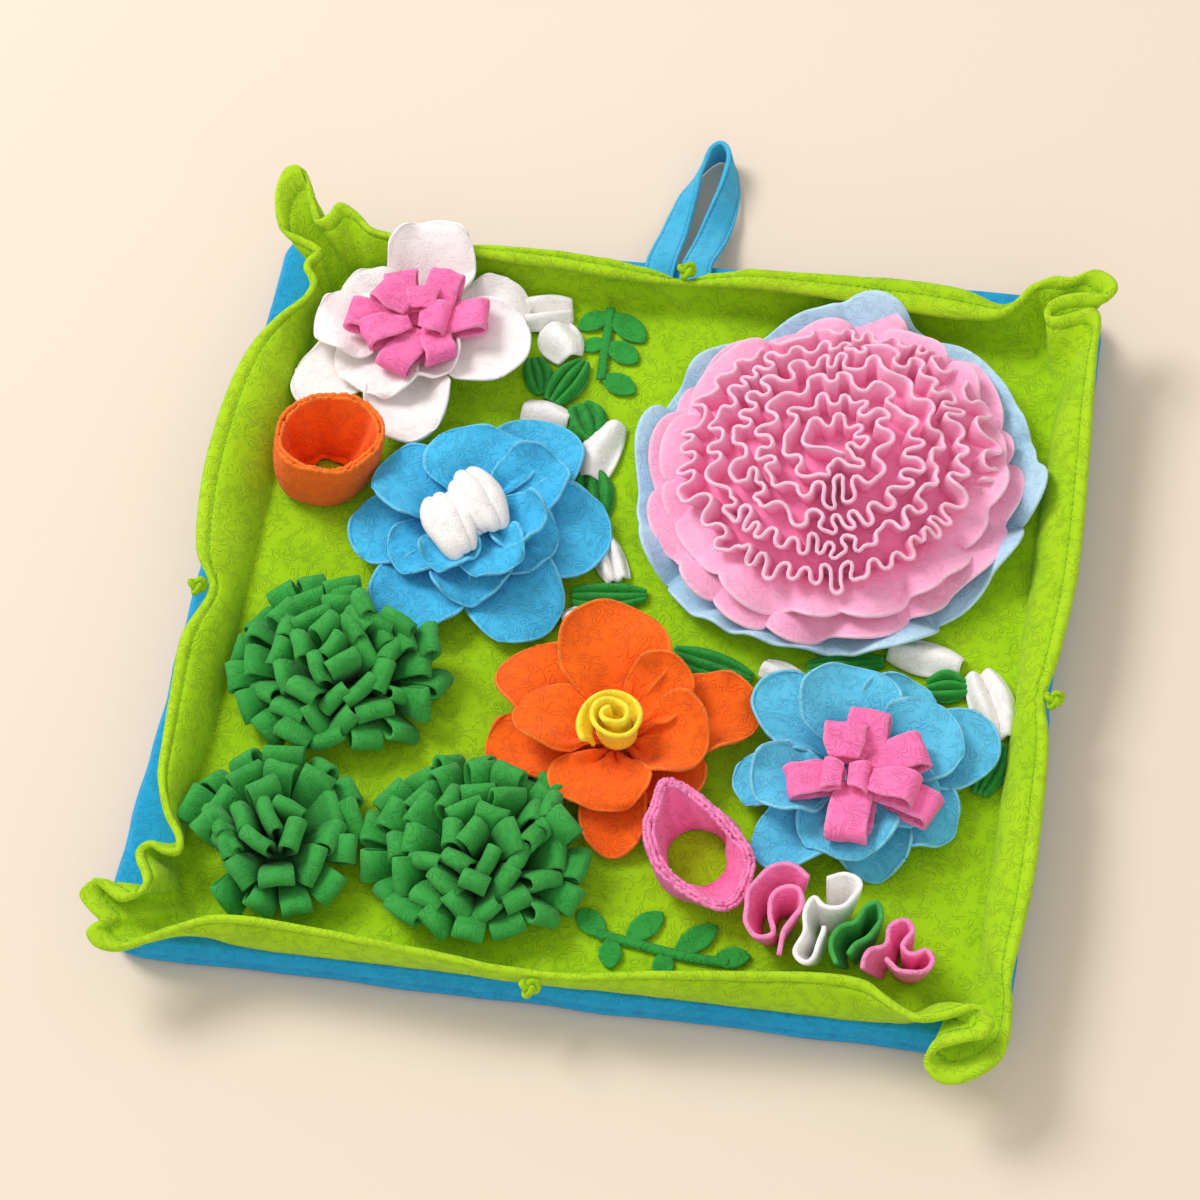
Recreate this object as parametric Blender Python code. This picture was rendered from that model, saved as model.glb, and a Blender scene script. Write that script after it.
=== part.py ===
"""Snuffle mat: a padded square base, a lime top sheet whose doubled rim stands up and is gathered at
the corners, and flowers, tufts, a cup, a ring and leaves sewn on its floor.

Tables and sizes are in millimetres, with the origin at the middle of the pad's underside: +X is the
mat's right, +Y its back, where the hanging strap is, and +Z is up.
"""
import bpy
import bmesh
import numpy as np
from math import atan2, cos, hypot, pi, radians, sin, sqrt
from mathutils.bvhtree import BVHTree

MM = 0.001                    # one table unit in metres
GAP = 0.3                     # between pieces that are sewn on one another
MERGE = 0.01                  # points closer than this are one
UNION_TRIALS = 12             # a union that comes out unsound is made again
UNION_LIFT = 0.06             # with its pieces raised by up to this much more

# ---- driving dimensions --------------------------------------------------------------------------
PAD_HALF = 240.0              # half the pad's side
PAD_THICK = 20.0
PAD_CORNER = 18.0             # corner radius of the pad in plan
FLOOR_THICK = 2.0             # the top sheet where it lies flat
FLOOR_MARGIN = 12.0           # from the middle part of its floor to the rim's foot
RIM_THICK = 3.2               # the doubled cloth of the rim
HEM_THICK = 4.2               # the rim at its turned hem
FOLD_REACH = 30.0             # where the rim runs out further than this, it bends near its hem,
FOLD_ROWS = 5                 # together with so many rows on either side
PETAL_THICK = 1.8
STRIP_THICK = 2.2             # fleece strips of the loops and ruffles
STRAP_WIDTH = 17.0
STRAP_THICK = 2.8

FLOOR_BOTTOM = PAD_THICK + GAP
FLOOR_TOP = FLOOR_BOTTOM + FLOOR_THICK
SEAT = FLOOR_TOP + GAP        # lowest height of what is sewn on the floor

# ---- the rim: foot on the floor, top edge of the hem, and how the cloth bulges between them -------
# columns: foot_x, foot_y, top_x, top_y, top_z, bulge_out, bulge_up
LEFT_SIDE = (
    (-205, -98, -225, -98, 45, -4, 5),
    (-205, -60, -227, -62, 45, -4, 5),
    (-207, -28, -221, -28, 39, -3, 2),
    (-207, -5, -233, -4, 43, -4, 5),
    (-208, 45, -240, 48, 45, -4, 7),
    (-208, 95, -239, 96, 45, -4, 7),
    (-208, 125, -233, 130, 45, -3, 6),
)
CORNER_BACK_LEFT = (
    (-207, 148, -222, 152, 46, -1, 3),
    (-206, 163, -209, 168, 47, 1, 1),
    (-204, 172, -206, 180, 48, 1, 1),
    (-203, 179, -213, 190, 49, 1, 0),
    (-202, 185, -208, 199, 51, 0, 0),
    (-201, 190, -218, 205, 52, 2, 0),
    (-200, 193, -231, 209, 56, 4, -2),
    (-199, 196, -237, 226, 62, 5, -4),
    (-197, 198, -234, 242, 66, 6, -4),
    (-195, 200, -225, 244, 66, 6, -4),
    (-193, 201, -219, 232, 60, 5, -2),
    (-191, 202, -212, 218, 54, 3, 0),
    (-189, 203, -206, 222, 53, 2, 0),
    (-187, 203, -202, 231, 53, 3, 0),
    (-184, 204, -194, 229, 51, 4, 1),
    (-178, 204, -182, 219, 49, 3, 3),
    (-165, 204, -168, 216, 48, 3, 5),
)
BACK_SIDE = (
    (-138, 204, -140, 211, 48, 10, 12),
    (-105, 203, -105, 207, 47, 17, 20),
    (-69, 203, -69, 206, 46, 18, 22),
    (-33, 203, -34, 203, 45, 16, 20),
    (4, 203, 4, 205, 41, 8, 12),
    (40, 203, 40, 204, 46, 18, 22),
    (87, 203, 87, 202, 46, 22, 24),
    (126, 203, 128, 198, 46, 28, 26),
    (150, 203, 152, 196, 46, 28, 26),
)
CORNER_BACK_RIGHT = (
    (166, 203, 171, 196, 46, 22, 20),
    (177, 203, 184, 199, 46, 14, 12),
    (185, 202.5, 193, 208, 48, 8, 5),
    (190, 202, 200, 219, 50, 5, 2),
    (195, 201, 210, 224, 52, 4, 0),
    (199, 199, 220, 224, 53, 5, -1),
    (202, 197, 232, 229, 55, 6, -3),
    (205, 195, 241, 226, 55, 7, -4),
    (207, 192.5, 246, 219, 55, 8, -4),
    (209, 190, 241, 213.5, 54, 7, -3),
    (210.5, 187.5, 229, 214, 53, 4, -2),
    (212, 185, 217, 212, 51, 2, 0),
    (213.5, 182, 209.5, 206, 50, 1, 0),
    (215, 179, 211, 199, 49, 1, 0),
    (216, 176, 217, 199, 49, 2, 0),
    (217, 173, 225, 203, 49, 3, 0),
    (218, 169, 234, 206, 50, 4, 0),
    (219, 164, 239, 200, 49, 4, 0),
    (220, 157, 239, 184, 46, 1, 2),
)
RIGHT_SIDE = (
    (220, 138, 240, 150, 43, -3, 5),
    (220, 85, 243, 88, 41, -4, 7),
    (220, 34, 244, 34, 40, -4, 7),
    (220, -15, 240, -16, 40, -4, 5),
    (221, -42, 236, -42, 37, -2, 2),
    (221, -72, 241, -72, 40, -4, 5),
    (221, -130, 243, -132, 41, -4, 7),
)
CORNER_FRONT_RIGHT = (
    (221, -157, 242, -168, 42, -3, 6),
    (221, -170, 240, -196, 43, -2, 4),
    (221, -180, 239, -214, 43, 0, 2),
    (220.5, -188, 241, -229, 42, 3, 0),
    (220, -195, 242, -243, 41, 5, -2),
    (219.5, -200, 239, -255, 40, 8, -4),
    (219, -205, 231, -264, 40, 9, -5),
    (218, -210, 221, -270, 40, 8, -5),
    (216.5, -214.5, 211, -271, 41, 6, -4),
    (214, -219, 204, -265, 44, 4, -2),
    (210.5, -222.5, 208, -257, 48, 0, 1),
    (206, -225.5, 220, -252, 50, -1, 3),
    (202, -227, 231, -249, 52, 0, 4),
    (198, -228.5, 234, -242, 55, -1, 6),
    (194.5, -229.5, 226, -236, 55, -2, 6),
    (191, -230.5, 213, -240, 52, -1, 4),
    (186, -231.5, 199, -243, 50, 0, 2),
    (180, -232, 189, -239, 49, 2, 1),
    (171, -232.5, 177, -231, 48, 4, 1),
    (160, -233, 166, -225, 48, 6, 2),
)
FRONT_SIDE = (
    (140, -233, 146, -224, 48, 6, 2),
    (110, -233, 112, -227, 47, 6, 1),
    (75, -233, 75, -231, 46, 5, 1),
    (36, -233, 36, -236, 44, 4, 1),
    (-3, -234, -3, -238, 38, 2, 0),
    (-42, -233, -42, -237, 44, 3, 1),
    (-80, -233, -80, -234, 46, 3, 1),
    (-115, -233, -116, -231, 46, 3, 1),
)
CORNER_FRONT_LEFT = (
    (-148, -233, -150, -229, 46, 4, 1),
    (-164, -232, -172, -231, 46, 4, 1),
    (-173, -230, -191, -239, 46, 4, 0),
    (-179, -227.5, -205, -248, 46, 4, 0),
    (-183, -225, -217, -255, 46, 5, -1),
    (-186, -222.5, -228, -255, 47, 6, -1),
    (-188.5, -220, -234, -248, 49, 6, -1),
    (-190.5, -218, -228, -242.5, 50, 3, 0),
    (-192.5, -215.5, -235, -237, 52, 4, 0),
    (-194.5, -213, -241, -230, 54, 5, -1),
    (-196, -210.5, -236, -223, 55, 4, -1),
    (-197.5, -208, -228, -227, 54, 2, 2),
    (-199, -205.5, -220, -231, 54, 1, 3),
    (-200.5, -202.5, -212, -227, 54, 1, 3),
    (-202, -199, -210, -219, 53, 0, 2),
    (-203, -195.5, -213, -212, 52, 0, 1),
    (-204, -192, -217, -206, 51, 1, 0),
    (-204.5, -188, -219, -199, 50, 2, 0),
    (-205, -184, -214, -194, 49, 1, 0),
    (-205, -180, -206, -197, 49, 0, 0),
    (-205.5, -176, -199, -196, 48, -1, 0),
    (-206, -171, -200, -187, 48, -1, 0),
    (-206, -163, -210, -173, 47, 0, 1),
    (-206, -150, -219, -153, 46, -1, 3),
    (-206, -128, -222, -130, 45, -3, 5),
)
RIM = (LEFT_SIDE + CORNER_BACK_LEFT + BACK_SIDE + CORNER_BACK_RIGHT + RIGHT_SIDE
       + CORNER_FRONT_RIGHT + FRONT_SIDE + CORNER_FRONT_LEFT)

# ---- petals: where they point, how long and wide, and how they rise and droop --------------------
# columns: turn, length, width, rise, droop, roll, cup
FLOWERS = {
    # name: (centre x, y, hub bottom z, hub top z, hub radius, root z, colour, petals)
    "white_petals_outer": (-142, 158, SEAT, 27.6, 12.0, 25.0, "white", (
        (143, 50, 46, 32, 2, 5, 3),
        (31, 58, 38, 30, -8, 5, 3),
        (-86, 70, 48, 33, -14, 4, 4),
        (-143, 72, 44, 26, -20, 4, 3),
    )),
    "white_petals_inner": (-142, 158, 27.9, 32.4, 9.5, 30.2, "white", (
        (88, 64, 50, 33, 30, 5, 5),
        (-13, 64, 54, 38, -12, 6, 4),
        (-60, 38, 34, 44, 10, 7, 4),
        (-122, 50, 54, 40, -8, 7, 5),
        (-172, 56, 48, 42, -2, 7, 4),
    )),
    "blue_petals_outer": (-86, 33, SEAT, 27.6, 12.0, 25.0, "blue", (
        (116, 62, 48, 24, -22, 5, 3),
        (62, 74, 54, 26, -16, 5, 3),
        (2, 68, 60, 27, -20, 5, 3),
        (-54, 72, 54, 26, -20, 5, 3),
        (-116, 68, 56, 26, -18, 5, 3),
        (-172, 62, 50, 26, -16, 5, 3),
    )),
    "blue_petals_middle": (-86, 33, 27.9, 32.4, 9.5, 30.2, "blue", (
        (154, 60, 48, 40, -6, 7, 4),
        (94, 54, 62, 42, 0, 7, 5),
        (42, 56, 42, 38, -6, 7, 4),
        (-20, 46, 42, 34, -8, 7, 3),
        (-80, 50, 46, 36, -6, 7, 4),
        (-140, 46, 38, 34, -6, 7, 3),
    )),
    "blue_petals_fold": (-86, 33, 32.7, 49.7, 7.0, 42.0, "blue", (
        (-12, 42, 34, 24, 18, 6, 5),
        (-58, 46, 38, 22, 14, 6, 5),
        (-104, 40, 34, 22, 18, 6, 5),
    )),
    "orange_petals_outer": (15, -92, SEAT, 27.6, 12.0, 25.0, "orange", (
        (148, 72, 46, 30, -10, 5, 4),
        (-168, 62, 44, 28, -16, 5, 4),
        (-82, 60, 36, 26, -22, 5, 4),
        (-30, 48, 40, 30, -10, 5, 4),
        (22, 72, 46, 30, -10, 5, 4),
    )),
    "orange_petals_inner": (15, -92, 27.9, 44.2, 7.5, 30.6, "orange", (
        (98, 74, 60, 42, -4, 6, 4),
        (50, 52, 36, 46, 6, 7, 4),
        (-4, 50, 48, 42, 0, 7, 5),
        (-96, 46, 56, 40, -8, 7, 4),
        (174, 54, 42, 42, -4, 7, 4),
    )),
    "sky_petals_outer": (146, -98, SEAT, 27.6, 12.5, 25.0, "sky", (
        (140, 68, 42, 30, -6, 5, 4),
        (70, 58, 40, 30, -10, 5, 4),
        (24, 68, 46, 28, -14, 5, 4),
        (-28, 50, 44, 28, -16, 5, 3),
        (-72, 50, 42, 28, -20, 5, 3),
        (-126, 64, 42, 28, -18, 5, 4),
        (-170, 58, 40, 29, -12, 5, 4),
    )),
    "sky_petals_inner": (146, -98, 27.9, 32.4, 9.5, 30.2, "sky", (
        (104, 58, 54, 40, -2, 7, 4),
        (32, 54, 50, 38, -2, 7, 4),
        (-26, 42, 36, 36, -4, 7, 4),
        (-92, 50, 54, 36, -8, 7, 4),
        (-158, 54, 46, 38, 0, 7, 4),
    )),
}
PETAL_STEPS = (4, 2)          # grid of one petal: along it and across it
ROOT_HALF = 3.4               # half the width of a petal where it leaves the hub

# ---- pink strip loops: each goes out, turns over and comes back on top of itself -----------------
# columns: root_z, turn, reach, width, rise, height
LOOPS = {
    # name: (centre x, y, hub bottom z, hub top z, hub radius, loops)
    "white_loops": (-142, 158, 32.7, 66.0, 6.4, (
        (47, 172, 42, 17, 13, 9),
        (47, 8, 40, 18, 13, 9),
        (47, -52, 29, 16, 14, 9),
        (47, -112, 32, 17, 8, 9),
        (54, 122, 32, 17, 20, 9),
        (54, 62, 34, 17, 20, 9),
        (57, 150, 22, 13, 14, 7),
        (57, 30, 22, 13, 14, 7),
        (57, -85, 21, 13, 14, 7),
    )),
    "sky_loops": (146, -99, 32.7, 63.5, 6.0, (
        (45, 178, 34, 16, 14, 9),
        (45, 98, 28, 17, 18, 9),
        (45, 32, 34, 18, 16, 9),
        (45, -28, 38, 17, 10, 9),
        (45, -98, 34, 18, 8, 9),
        (55, 138, 20, 13, 14, 7),
        (55, 10, 20, 13, 14, 7),
        (55, -125, 21, 13, 12, 7),
    )),
}

# ---- tufts: folded strips in rings, leaning out more towards the edge ----------------------------
TUFTS = {
    # name: (centre x, y, spread along x, y, circles (x, y, radius) that stay clear, rings)
    "tuft_left": (-142, -64, 57, 50, ((-86, 33, 85),),
                  ((0, 1, 4), (.18, 6, 20), (.40, 12, 39), (.62, 15, 56), (.82, 18, 70))),
    "tuft_corner": (-155, -171, 43, 42, ((-205, -202, 33), (-142, -64, 63), (-45, -167, 65)),
                    ((0, 1, 4), (.24, 5, 24), (.52, 11, 46), (.78, 14, 64))),
    "tuft_front": (-45, -167, 57, 48, ((-30, -98, 30), (20, -140, 27)),
                   ((0, 1, 4), (.18, 6, 20), (.40, 12, 39), (.62, 15, 56), (.82, 18, 70))),
}
TUFT_FOOT = 0.74              # share of the spread that the roots of the strips take up
LOCK_LENGTH = 26.0
LOCK_ROOT = (7.0, 3.4)        # width and thickness of a folded strip at its root
LOCK_TIP = (15.0, 7.5)        # and at its folded end
BACKING = 4.0                 # height of a tuft's backing

# ---- standing strips in the front right corner: the path of each, seen from above ----------------
STRIPS = {
    # name: (colour, height, thickness, points)
    "strip_pink": ("pink", 24, 2.4, (
        (130, -168), (117, -163), (104, -173), (101, -190), (107, -204), (116, -202), (113, -190),
        (116, -178), (126, -176), (128, -186), (122, -200), (121, -213))),
    "strip_white": ("white", 25, 2.4, (
        (140, -169), (149, -165), (157, -172), (151, -182), (141, -184), (135, -180), (132, -187),
        (133, -200), (130, -211), (137, -216), (141, -206), (142, -196))),
    "strip_green": ("leaf", 24, 2.4, (
        (151, -215), (148, -204), (151, -194), (158, -190), (161, -181), (167, -179), (170, -187),
        (167, -195), (160, -202), (157, -209))),
    "strip_rosette": ("pink", 22, 2.4, (
        (165, -215), (167, -205), (174, -200), (176, -190), (183, -186), (187, -192), (183, -200),
        (189, -204), (195, -201), (199, -206), (195, -213), (184, -214), (176, -208))),
}

# ---- folded buds and pleated leaves tucked among the flowers: place, heading, length and width ---
# columns: x, y, turn, length, width, height
BUDS = (
    (-77, 188, 12, 28, 18, 7),
    (-62, 168, -60, 20, 18, 7),
    (-62, 118, -12, 22, 13, 5),
    (-26, 97, 80, 32, 16, 6),
    (-9, 26, 118, 24, 12, 4),
    (-21, -12, 30, 14, 9, 4),
    (96, -36, -20, 20, 11, 4),
    (170, -16, -12, 32, 15, 6),
    (208, -42, -68, 34, 17, 6),
)
LEAVES = (
    (-72, 144, -70, 18, 10, 4),
    (-54, 142, 66, 24, 12, 6),
    (-39, 116, -60, 18, 14, 5),
    (-26, 67, -70, 24, 15, 5),
    (-6, 3, 8, 30, 12, 4),
    (57, -35, -14, 34, 12, 4),
    (128, -25, 12, 30, 9, 3),
    (184, -33, 8, 16, 12, 5),
    (213, -80, 75, 24, 9, 4),
)

# ---- flat felt sprigs: a stem, and leaves given by their foot, heading, length and width ---------
SPRIGS = {
    "sprig_back": (((-39, 196), (-38, 184), (-37, 163), (-36, 146)), (
        (-39, 192, 216, 20, 13), (-37, 192, -38, 27, 15),
        (-38, 173, 208, 14, 10), (-36, 172, -32, 22, 14), (-35, 149, -26, 22, 14))),
    "sprig_front": (((24, -203), (44, -206), (70, -210), (94, -211)), (
        (27, -203, 140, 20, 13), (31, -205, -80, 17, 12), (40, -204.5, 50, 24, 14),
        (60, -209, -85, 15, 11), (66, -208.5, 44, 26, 14), (86, -210, 14, 19, 12))),
}

# ---- colours: base colour and roughness ----------------------------------------------------------
COLOURS = {
    "lime": ((0.36, 0.61, 0.013), 0.9),
    "pad_blue": ((0.013, 0.33, 0.58), 0.9),
    "strap_blue": ((0.036, 0.40, 0.68), 0.85),
    "blue": ((0.032, 0.38, 0.76), 0.9),
    "sky": ((0.10, 0.50, 0.80), 0.9),
    "light_blue": ((0.40, 0.65, 0.87), 0.9),
    "white": ((0.88, 0.86, 0.84), 0.9),
    "pink": ((0.91, 0.17, 0.48), 0.9),
    "ruffle_pink": ((0.91, 0.32, 0.55), 0.9),
    "orange": ((0.95, 0.10, 0.007), 0.9),
    "yellow": ((0.97, 0.64, 0.01), 0.9),
    "leaf": ((0.026, 0.26, 0.052), 0.92),
}


def clear_scene():
    for old in list(bpy.data.objects):
        bpy.data.objects.remove(old, do_unlink=True)


def material(name):
    """One Principled material for each colour, shared by the pieces of that colour."""
    found = bpy.data.materials.get(name)
    if found:
        return found
    made = bpy.data.materials.new(name)
    made.use_nodes = True
    colour, roughness = COLOURS[name]
    shader = made.node_tree.nodes["Principled BSDF"]
    shader.inputs["Base Color"].default_value = (*colour, 1.0)
    shader.inputs["Roughness"].default_value = roughness
    shader.inputs["Metallic"].default_value = 0.0
    return made


def add_object(name, points, faces, colour):
    mesh = bpy.data.meshes.new(name)
    mesh.from_pydata([tuple(p) for p in np.asarray(points, float) * MM], [], faces)
    bm = bmesh.new()
    bm.from_mesh(mesh)
    bmesh.ops.recalc_face_normals(bm, faces=bm.faces)
    bm.to_mesh(mesh)
    bm.free()
    mesh.shade_smooth()
    mesh.materials.append(material(colour))
    piece = bpy.data.objects.new(name, mesh)
    bpy.context.collection.objects.link(piece)
    return piece


def settle(mesh):
    """Merge points that nearly touch and make every face a triangle."""
    bm = bmesh.new()
    bm.from_mesh(mesh)
    bmesh.ops.remove_doubles(bm, verts=bm.verts, dist=MERGE * MM)
    bmesh.ops.dissolve_degenerate(bm, edges=bm.edges, dist=MERGE * MM)
    bmesh.ops.triangulate(bm, faces=bm.faces)
    bm.to_mesh(mesh)
    bm.free()


def is_sound(mesh):
    """True for one closed body with no face running through another."""
    bm = bmesh.new()
    bm.from_mesh(mesh)
    bm.faces.ensure_lookup_table()
    closed = all(edge.is_manifold for edge in bm.edges)
    seen, waiting = set(), [bm.verts[:][0]]
    while waiting:
        vert = waiting.pop()
        if vert not in seen:
            seen.add(vert)
            waiting.extend(edge.other_vert(vert) for edge in vert.link_edges)
    tree = BVHTree.FromBMesh(bm)
    crossing = any(a < b and not set(bm.faces[a].verts) & set(bm.faces[b].verts)
                   for a, b in tree.overlap(tree))
    sound = closed and len(seen) == len(bm.verts) and not crossing
    bm.free()
    return sound


def join_meshes(parts, lift):
    """The exact union of the parts, each raised by its own small share of the lift."""
    body = parts[0].copy()
    body.data = parts[0].data.copy()
    bpy.context.collection.objects.link(body)
    for k, part in enumerate(parts[1:]):
        part.location.z = lift * MM * ((7 * k) % 5) / 5
        joint = body.modifiers.new("union", "BOOLEAN")
        joint.operation = "UNION"
        joint.solver = "EXACT"
        joint.object = part
        bpy.context.view_layer.update()
        evaluated = body.evaluated_get(bpy.context.evaluated_depsgraph_get())
        mesh = bpy.data.meshes.new_from_object(evaluated)
        body.modifiers.clear()
        body.data = mesh
    settle(body.data)
    return body


def fuse(name, parts, colour):
    """One closed body from pieces that run into one another, joined by an exact union."""
    for trial in range(UNION_TRIALS):
        body = join_meshes(parts, UNION_LIFT * trial)
        if is_sound(body.data):
            break
        if trial < UNION_TRIALS - 1:
            bpy.data.objects.remove(body, do_unlink=True)
    for part in parts:
        bpy.data.objects.remove(part, do_unlink=True)
    body.name = name
    body.data.name = name
    body.data.materials.clear()
    body.data.materials.append(material(colour))
    body.data.shade_smooth()
    return body


def unit(vectors):
    vectors = np.asarray(vectors, float)
    size = np.linalg.norm(vectors, axis=-1, keepdims=True)
    return vectors / np.maximum(size, 1e-9)


def slope(grid, axis, closed):
    """Central differences along one axis of a grid of points."""
    if closed:
        return np.roll(grid, -1, axis=axis) - np.roll(grid, 1, axis=axis)
    return np.gradient(grid, axis=axis)


def smooth_rows(rows, steps, closed=False):
    """A Catmull-Rom curve through the rows, with so many steps from each row to the next."""
    rows = np.asarray(rows, float)
    count = len(rows)
    out = []
    for i in range(count if closed else count - 1):
        if closed:
            a, b, c, d = (rows[(i + k) % count] for k in (-1, 0, 1, 2))
        else:
            a, b, c, d = (rows[min(max(i + k, 0), count - 1)] for k in (-1, 0, 1, 2))
        for k in range(steps):
            t = k / steps
            out.append(0.5 * (2 * b + (c - a) * t + (2 * a - 5 * b + 4 * c - d) * t * t
                              + (3 * b - a - 3 * c + d) * t ** 3))
    if not closed:
        out.append(rows[-1])
    return np.array(out)


def shell(grid, thickness, closed=False, caps=False):
    """Points and faces of a sheet of even thickness laid on both sides of a grid of points.

    Rows of the grid may close on themselves; caps fills the loop of its first column."""
    rows, columns = grid.shape[:2]
    normal = unit(np.cross(slope(grid, 0, closed), slope(grid, 1, False)))
    half = 0.5 * np.broadcast_to(thickness, (rows, columns))[..., None] * normal
    points = np.concatenate([(grid + half).reshape(-1, 3), (grid - half).reshape(-1, 3)])
    below = rows * columns

    def at(i, j):
        return (i % rows) * columns + j
    faces = []
    spans = rows if closed else rows - 1
    for i in range(spans):
        for j in range(columns - 1):
            quad = (at(i, j), at(i + 1, j), at(i + 1, j + 1), at(i, j + 1))
            faces.append(quad)
            faces.append(tuple(below + k for k in reversed(quad)))
        ends = (columns - 1,) if caps else (0, columns - 1)
        for j in ends:
            faces.append((at(i, j), at(i + 1, j), below + at(i + 1, j), below + at(i, j)))
    if caps:
        faces.append([at(i, 0) for i in range(rows)])
        faces.append([below + at(i, 0) for i in range(rows)])
    if not closed:
        for i in (0, rows - 1):
            for j in range(columns - 1):
                faces.append((at(i, j), at(i, j + 1), below + at(i, j + 1), below + at(i, j)))
    return points, faces


def wall(path, bottom, top, thickness, closed=False, lean=0.0):
    """A strip standing on edge along a path; lean moves its top edge away from the middle."""
    path = np.asarray(path, float)
    middle = path.mean(axis=0)
    low = np.column_stack([path, np.broadcast_to(bottom, len(path))])
    high = np.column_stack([path + lean * (path - middle), np.broadcast_to(top, len(path))])
    return shell(np.stack([low, high], axis=1), thickness, closed)


def prism(outline, bottom, top):
    """A flat piece: an outline seen from above, with its two faces level."""
    count = len(outline)
    outline = np.asarray(outline, float)
    low = np.column_stack([outline, np.full(count, bottom)])
    high = np.column_stack([outline, np.full(count, top)])
    faces = [tuple(range(count)), tuple(range(2 * count - 1, count - 1, -1))]
    faces += [(i, (i + 1) % count, count + (i + 1) % count, count + i) for i in range(count)]
    return np.concatenate([low, high]), faces


def circle(x, y, radius, count, turn=0.0):
    angles = radians(turn) + 2 * pi * np.arange(count) / count
    return np.column_stack([x + radius * np.cos(angles), y + radius * np.sin(angles)])


# ---- base and top sheet --------------------------------------------------------------------------
def rounded_square(half, corner, arc_steps):
    points = []
    for quarter in range(4):
        for k in range(arc_steps + 1):
            angle = (quarter + k / arc_steps) * pi / 2
            x = (half - corner) * (1 if quarter in (0, 3) else -1) + corner * cos(angle)
            y = (half - corner) * (1 if quarter in (0, 1) else -1) + corner * sin(angle)
            points.append((x, y))
    return np.array(points)


def build_pad():
    """The padded base: flat underneath, with soft rounded sides."""
    profile = ((9, 0), (2.5, 2.5), (0, 8), (1, 14), (4.5, 18), (12, PAD_THICK))   # inset, height
    loops = []
    for inset, height in profile:
        outline = rounded_square(PAD_HALF - inset, PAD_CORNER + 4 - 0.4 * inset, 4)
        loops.append(np.column_stack([outline, np.full(len(outline), height)]))
    count = len(loops[0])
    faces = [tuple(reversed(range(count)))]
    for level in range(len(loops) - 1):
        for i in range(count):
            a, b = level * count + i, level * count + (i + 1) % count
            faces.append((a, b, b + count, a + count))
    faces.append(tuple((len(loops) - 1) * count + i for i in range(count)))
    add_object("base_pad", np.concatenate(loops), faces, "pad_blue")


def rim_grid(rows, levels):
    """Points of the top sheet from its floor to the hem: a quadratic curve from foot to top edge."""
    foot = np.column_stack([rows[:, 0], rows[:, 1], np.full(len(rows), FLOOR_TOP - FLOOR_THICK / 2)])
    top = rows[:, 2:5]
    along = slope(foot[:, :2], 0, True)
    outward = unit(np.column_stack([-along[:, 1], along[:, 0]]))
    bulge = np.column_stack([outward * rows[:, 5:6], rows[:, 6]])
    reach = np.linalg.norm(top[:, :2] - foot[:, :2], axis=1)
    widest = np.max([np.roll(reach, k) for k in range(-FOLD_ROWS, FOLD_ROWS + 1)], axis=0)
    share = 0.5 * np.minimum(1.0, FOLD_REACH / widest)[:, None]
    middle = (foot + top) / 2 + bulge
    middle[:, :2] = foot[:, :2] + share * (top - foot)[:, :2] + bulge[:, :2]
    middle[:, 2] += 4.0       # the wall leaves the floor steeply
    inset = 1 - FLOOR_MARGIN / np.abs(foot[:, :2]).max(axis=1)
    columns = [foot * np.column_stack([inset, inset, np.ones(len(rows))])]
    for k in range(levels + 1):
        t = k / levels
        columns.append((1 - t) ** 2 * foot + 2 * t * (1 - t) * middle + t * t * top)
    return np.stack(columns, axis=1)


def build_top_sheet():
    rows = smooth_rows(RIM, 1, closed=True)
    grid = rim_grid(rows, 3)
    thickness = np.array([FLOOR_THICK, FLOOR_THICK, RIM_THICK, RIM_THICK, HEM_THICK])
    points, faces = shell(grid, thickness, closed=True, caps=True)
    add_object("top_sheet", points, faces, "lime")


KNOTS = {
    # name: (x, y, z)
    "knot_left": (-228.5, -28, 41),
    "knot_back": (4, 211.2, 46),
    "knot_right": (241.5, -42, 39),
    "knot_front": (-3, -245, 37),
}


def build_knots():
    """Each knot is three small rounded lobes run together."""
    for name, (x, y, z) in KNOTS.items():
        parts = []
        for k in range(3):
            angle = radians(20 + 120 * k)
            centre = (x + 2.6 * cos(angle), y + 2.6 * sin(angle), z + 1.2 * (k - 1))
            parts.append(ball(centre, (3.7, 3.7, 3.2), 4, 3, "lime", 15 * k))
        fuse(name, parts, "lime")


def ball(centre, radii, around, up, colour, turn=0.0, heading=None):
    """A closed rounded lump: rings of points between two poles."""
    points = [(0, 0, -1)]
    for j in range(1, up):
        tilt = -pi / 2 + pi * j / up
        for i in range(around):
            angle = radians(turn) + 2 * pi * i / around
            points.append((cos(tilt) * cos(angle), cos(tilt) * sin(angle), sin(tilt)))
    points.append((0, 0, 1))
    faces = [(0, 1 + (i + 1) % around, 1 + i) for i in range(around)]
    for j in range(up - 2):
        for i in range(around):
            a, b = 1 + j * around + i, 1 + j * around + (i + 1) % around
            faces.append((a, b, b + around, a + around))
    last = len(points) - 1
    faces += [(last, last - around + i, last - around + (i + 1) % around) for i in range(around)]
    points = np.array(points) * np.array(radii)
    if heading is not None:
        c, s = cos(radians(heading)), sin(radians(heading))
        points[:, :2] = points[:, :2] @ np.array([[c, s], [-s, c]])
    return add_object("lump", points + np.array(centre), faces, colour)


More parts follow.
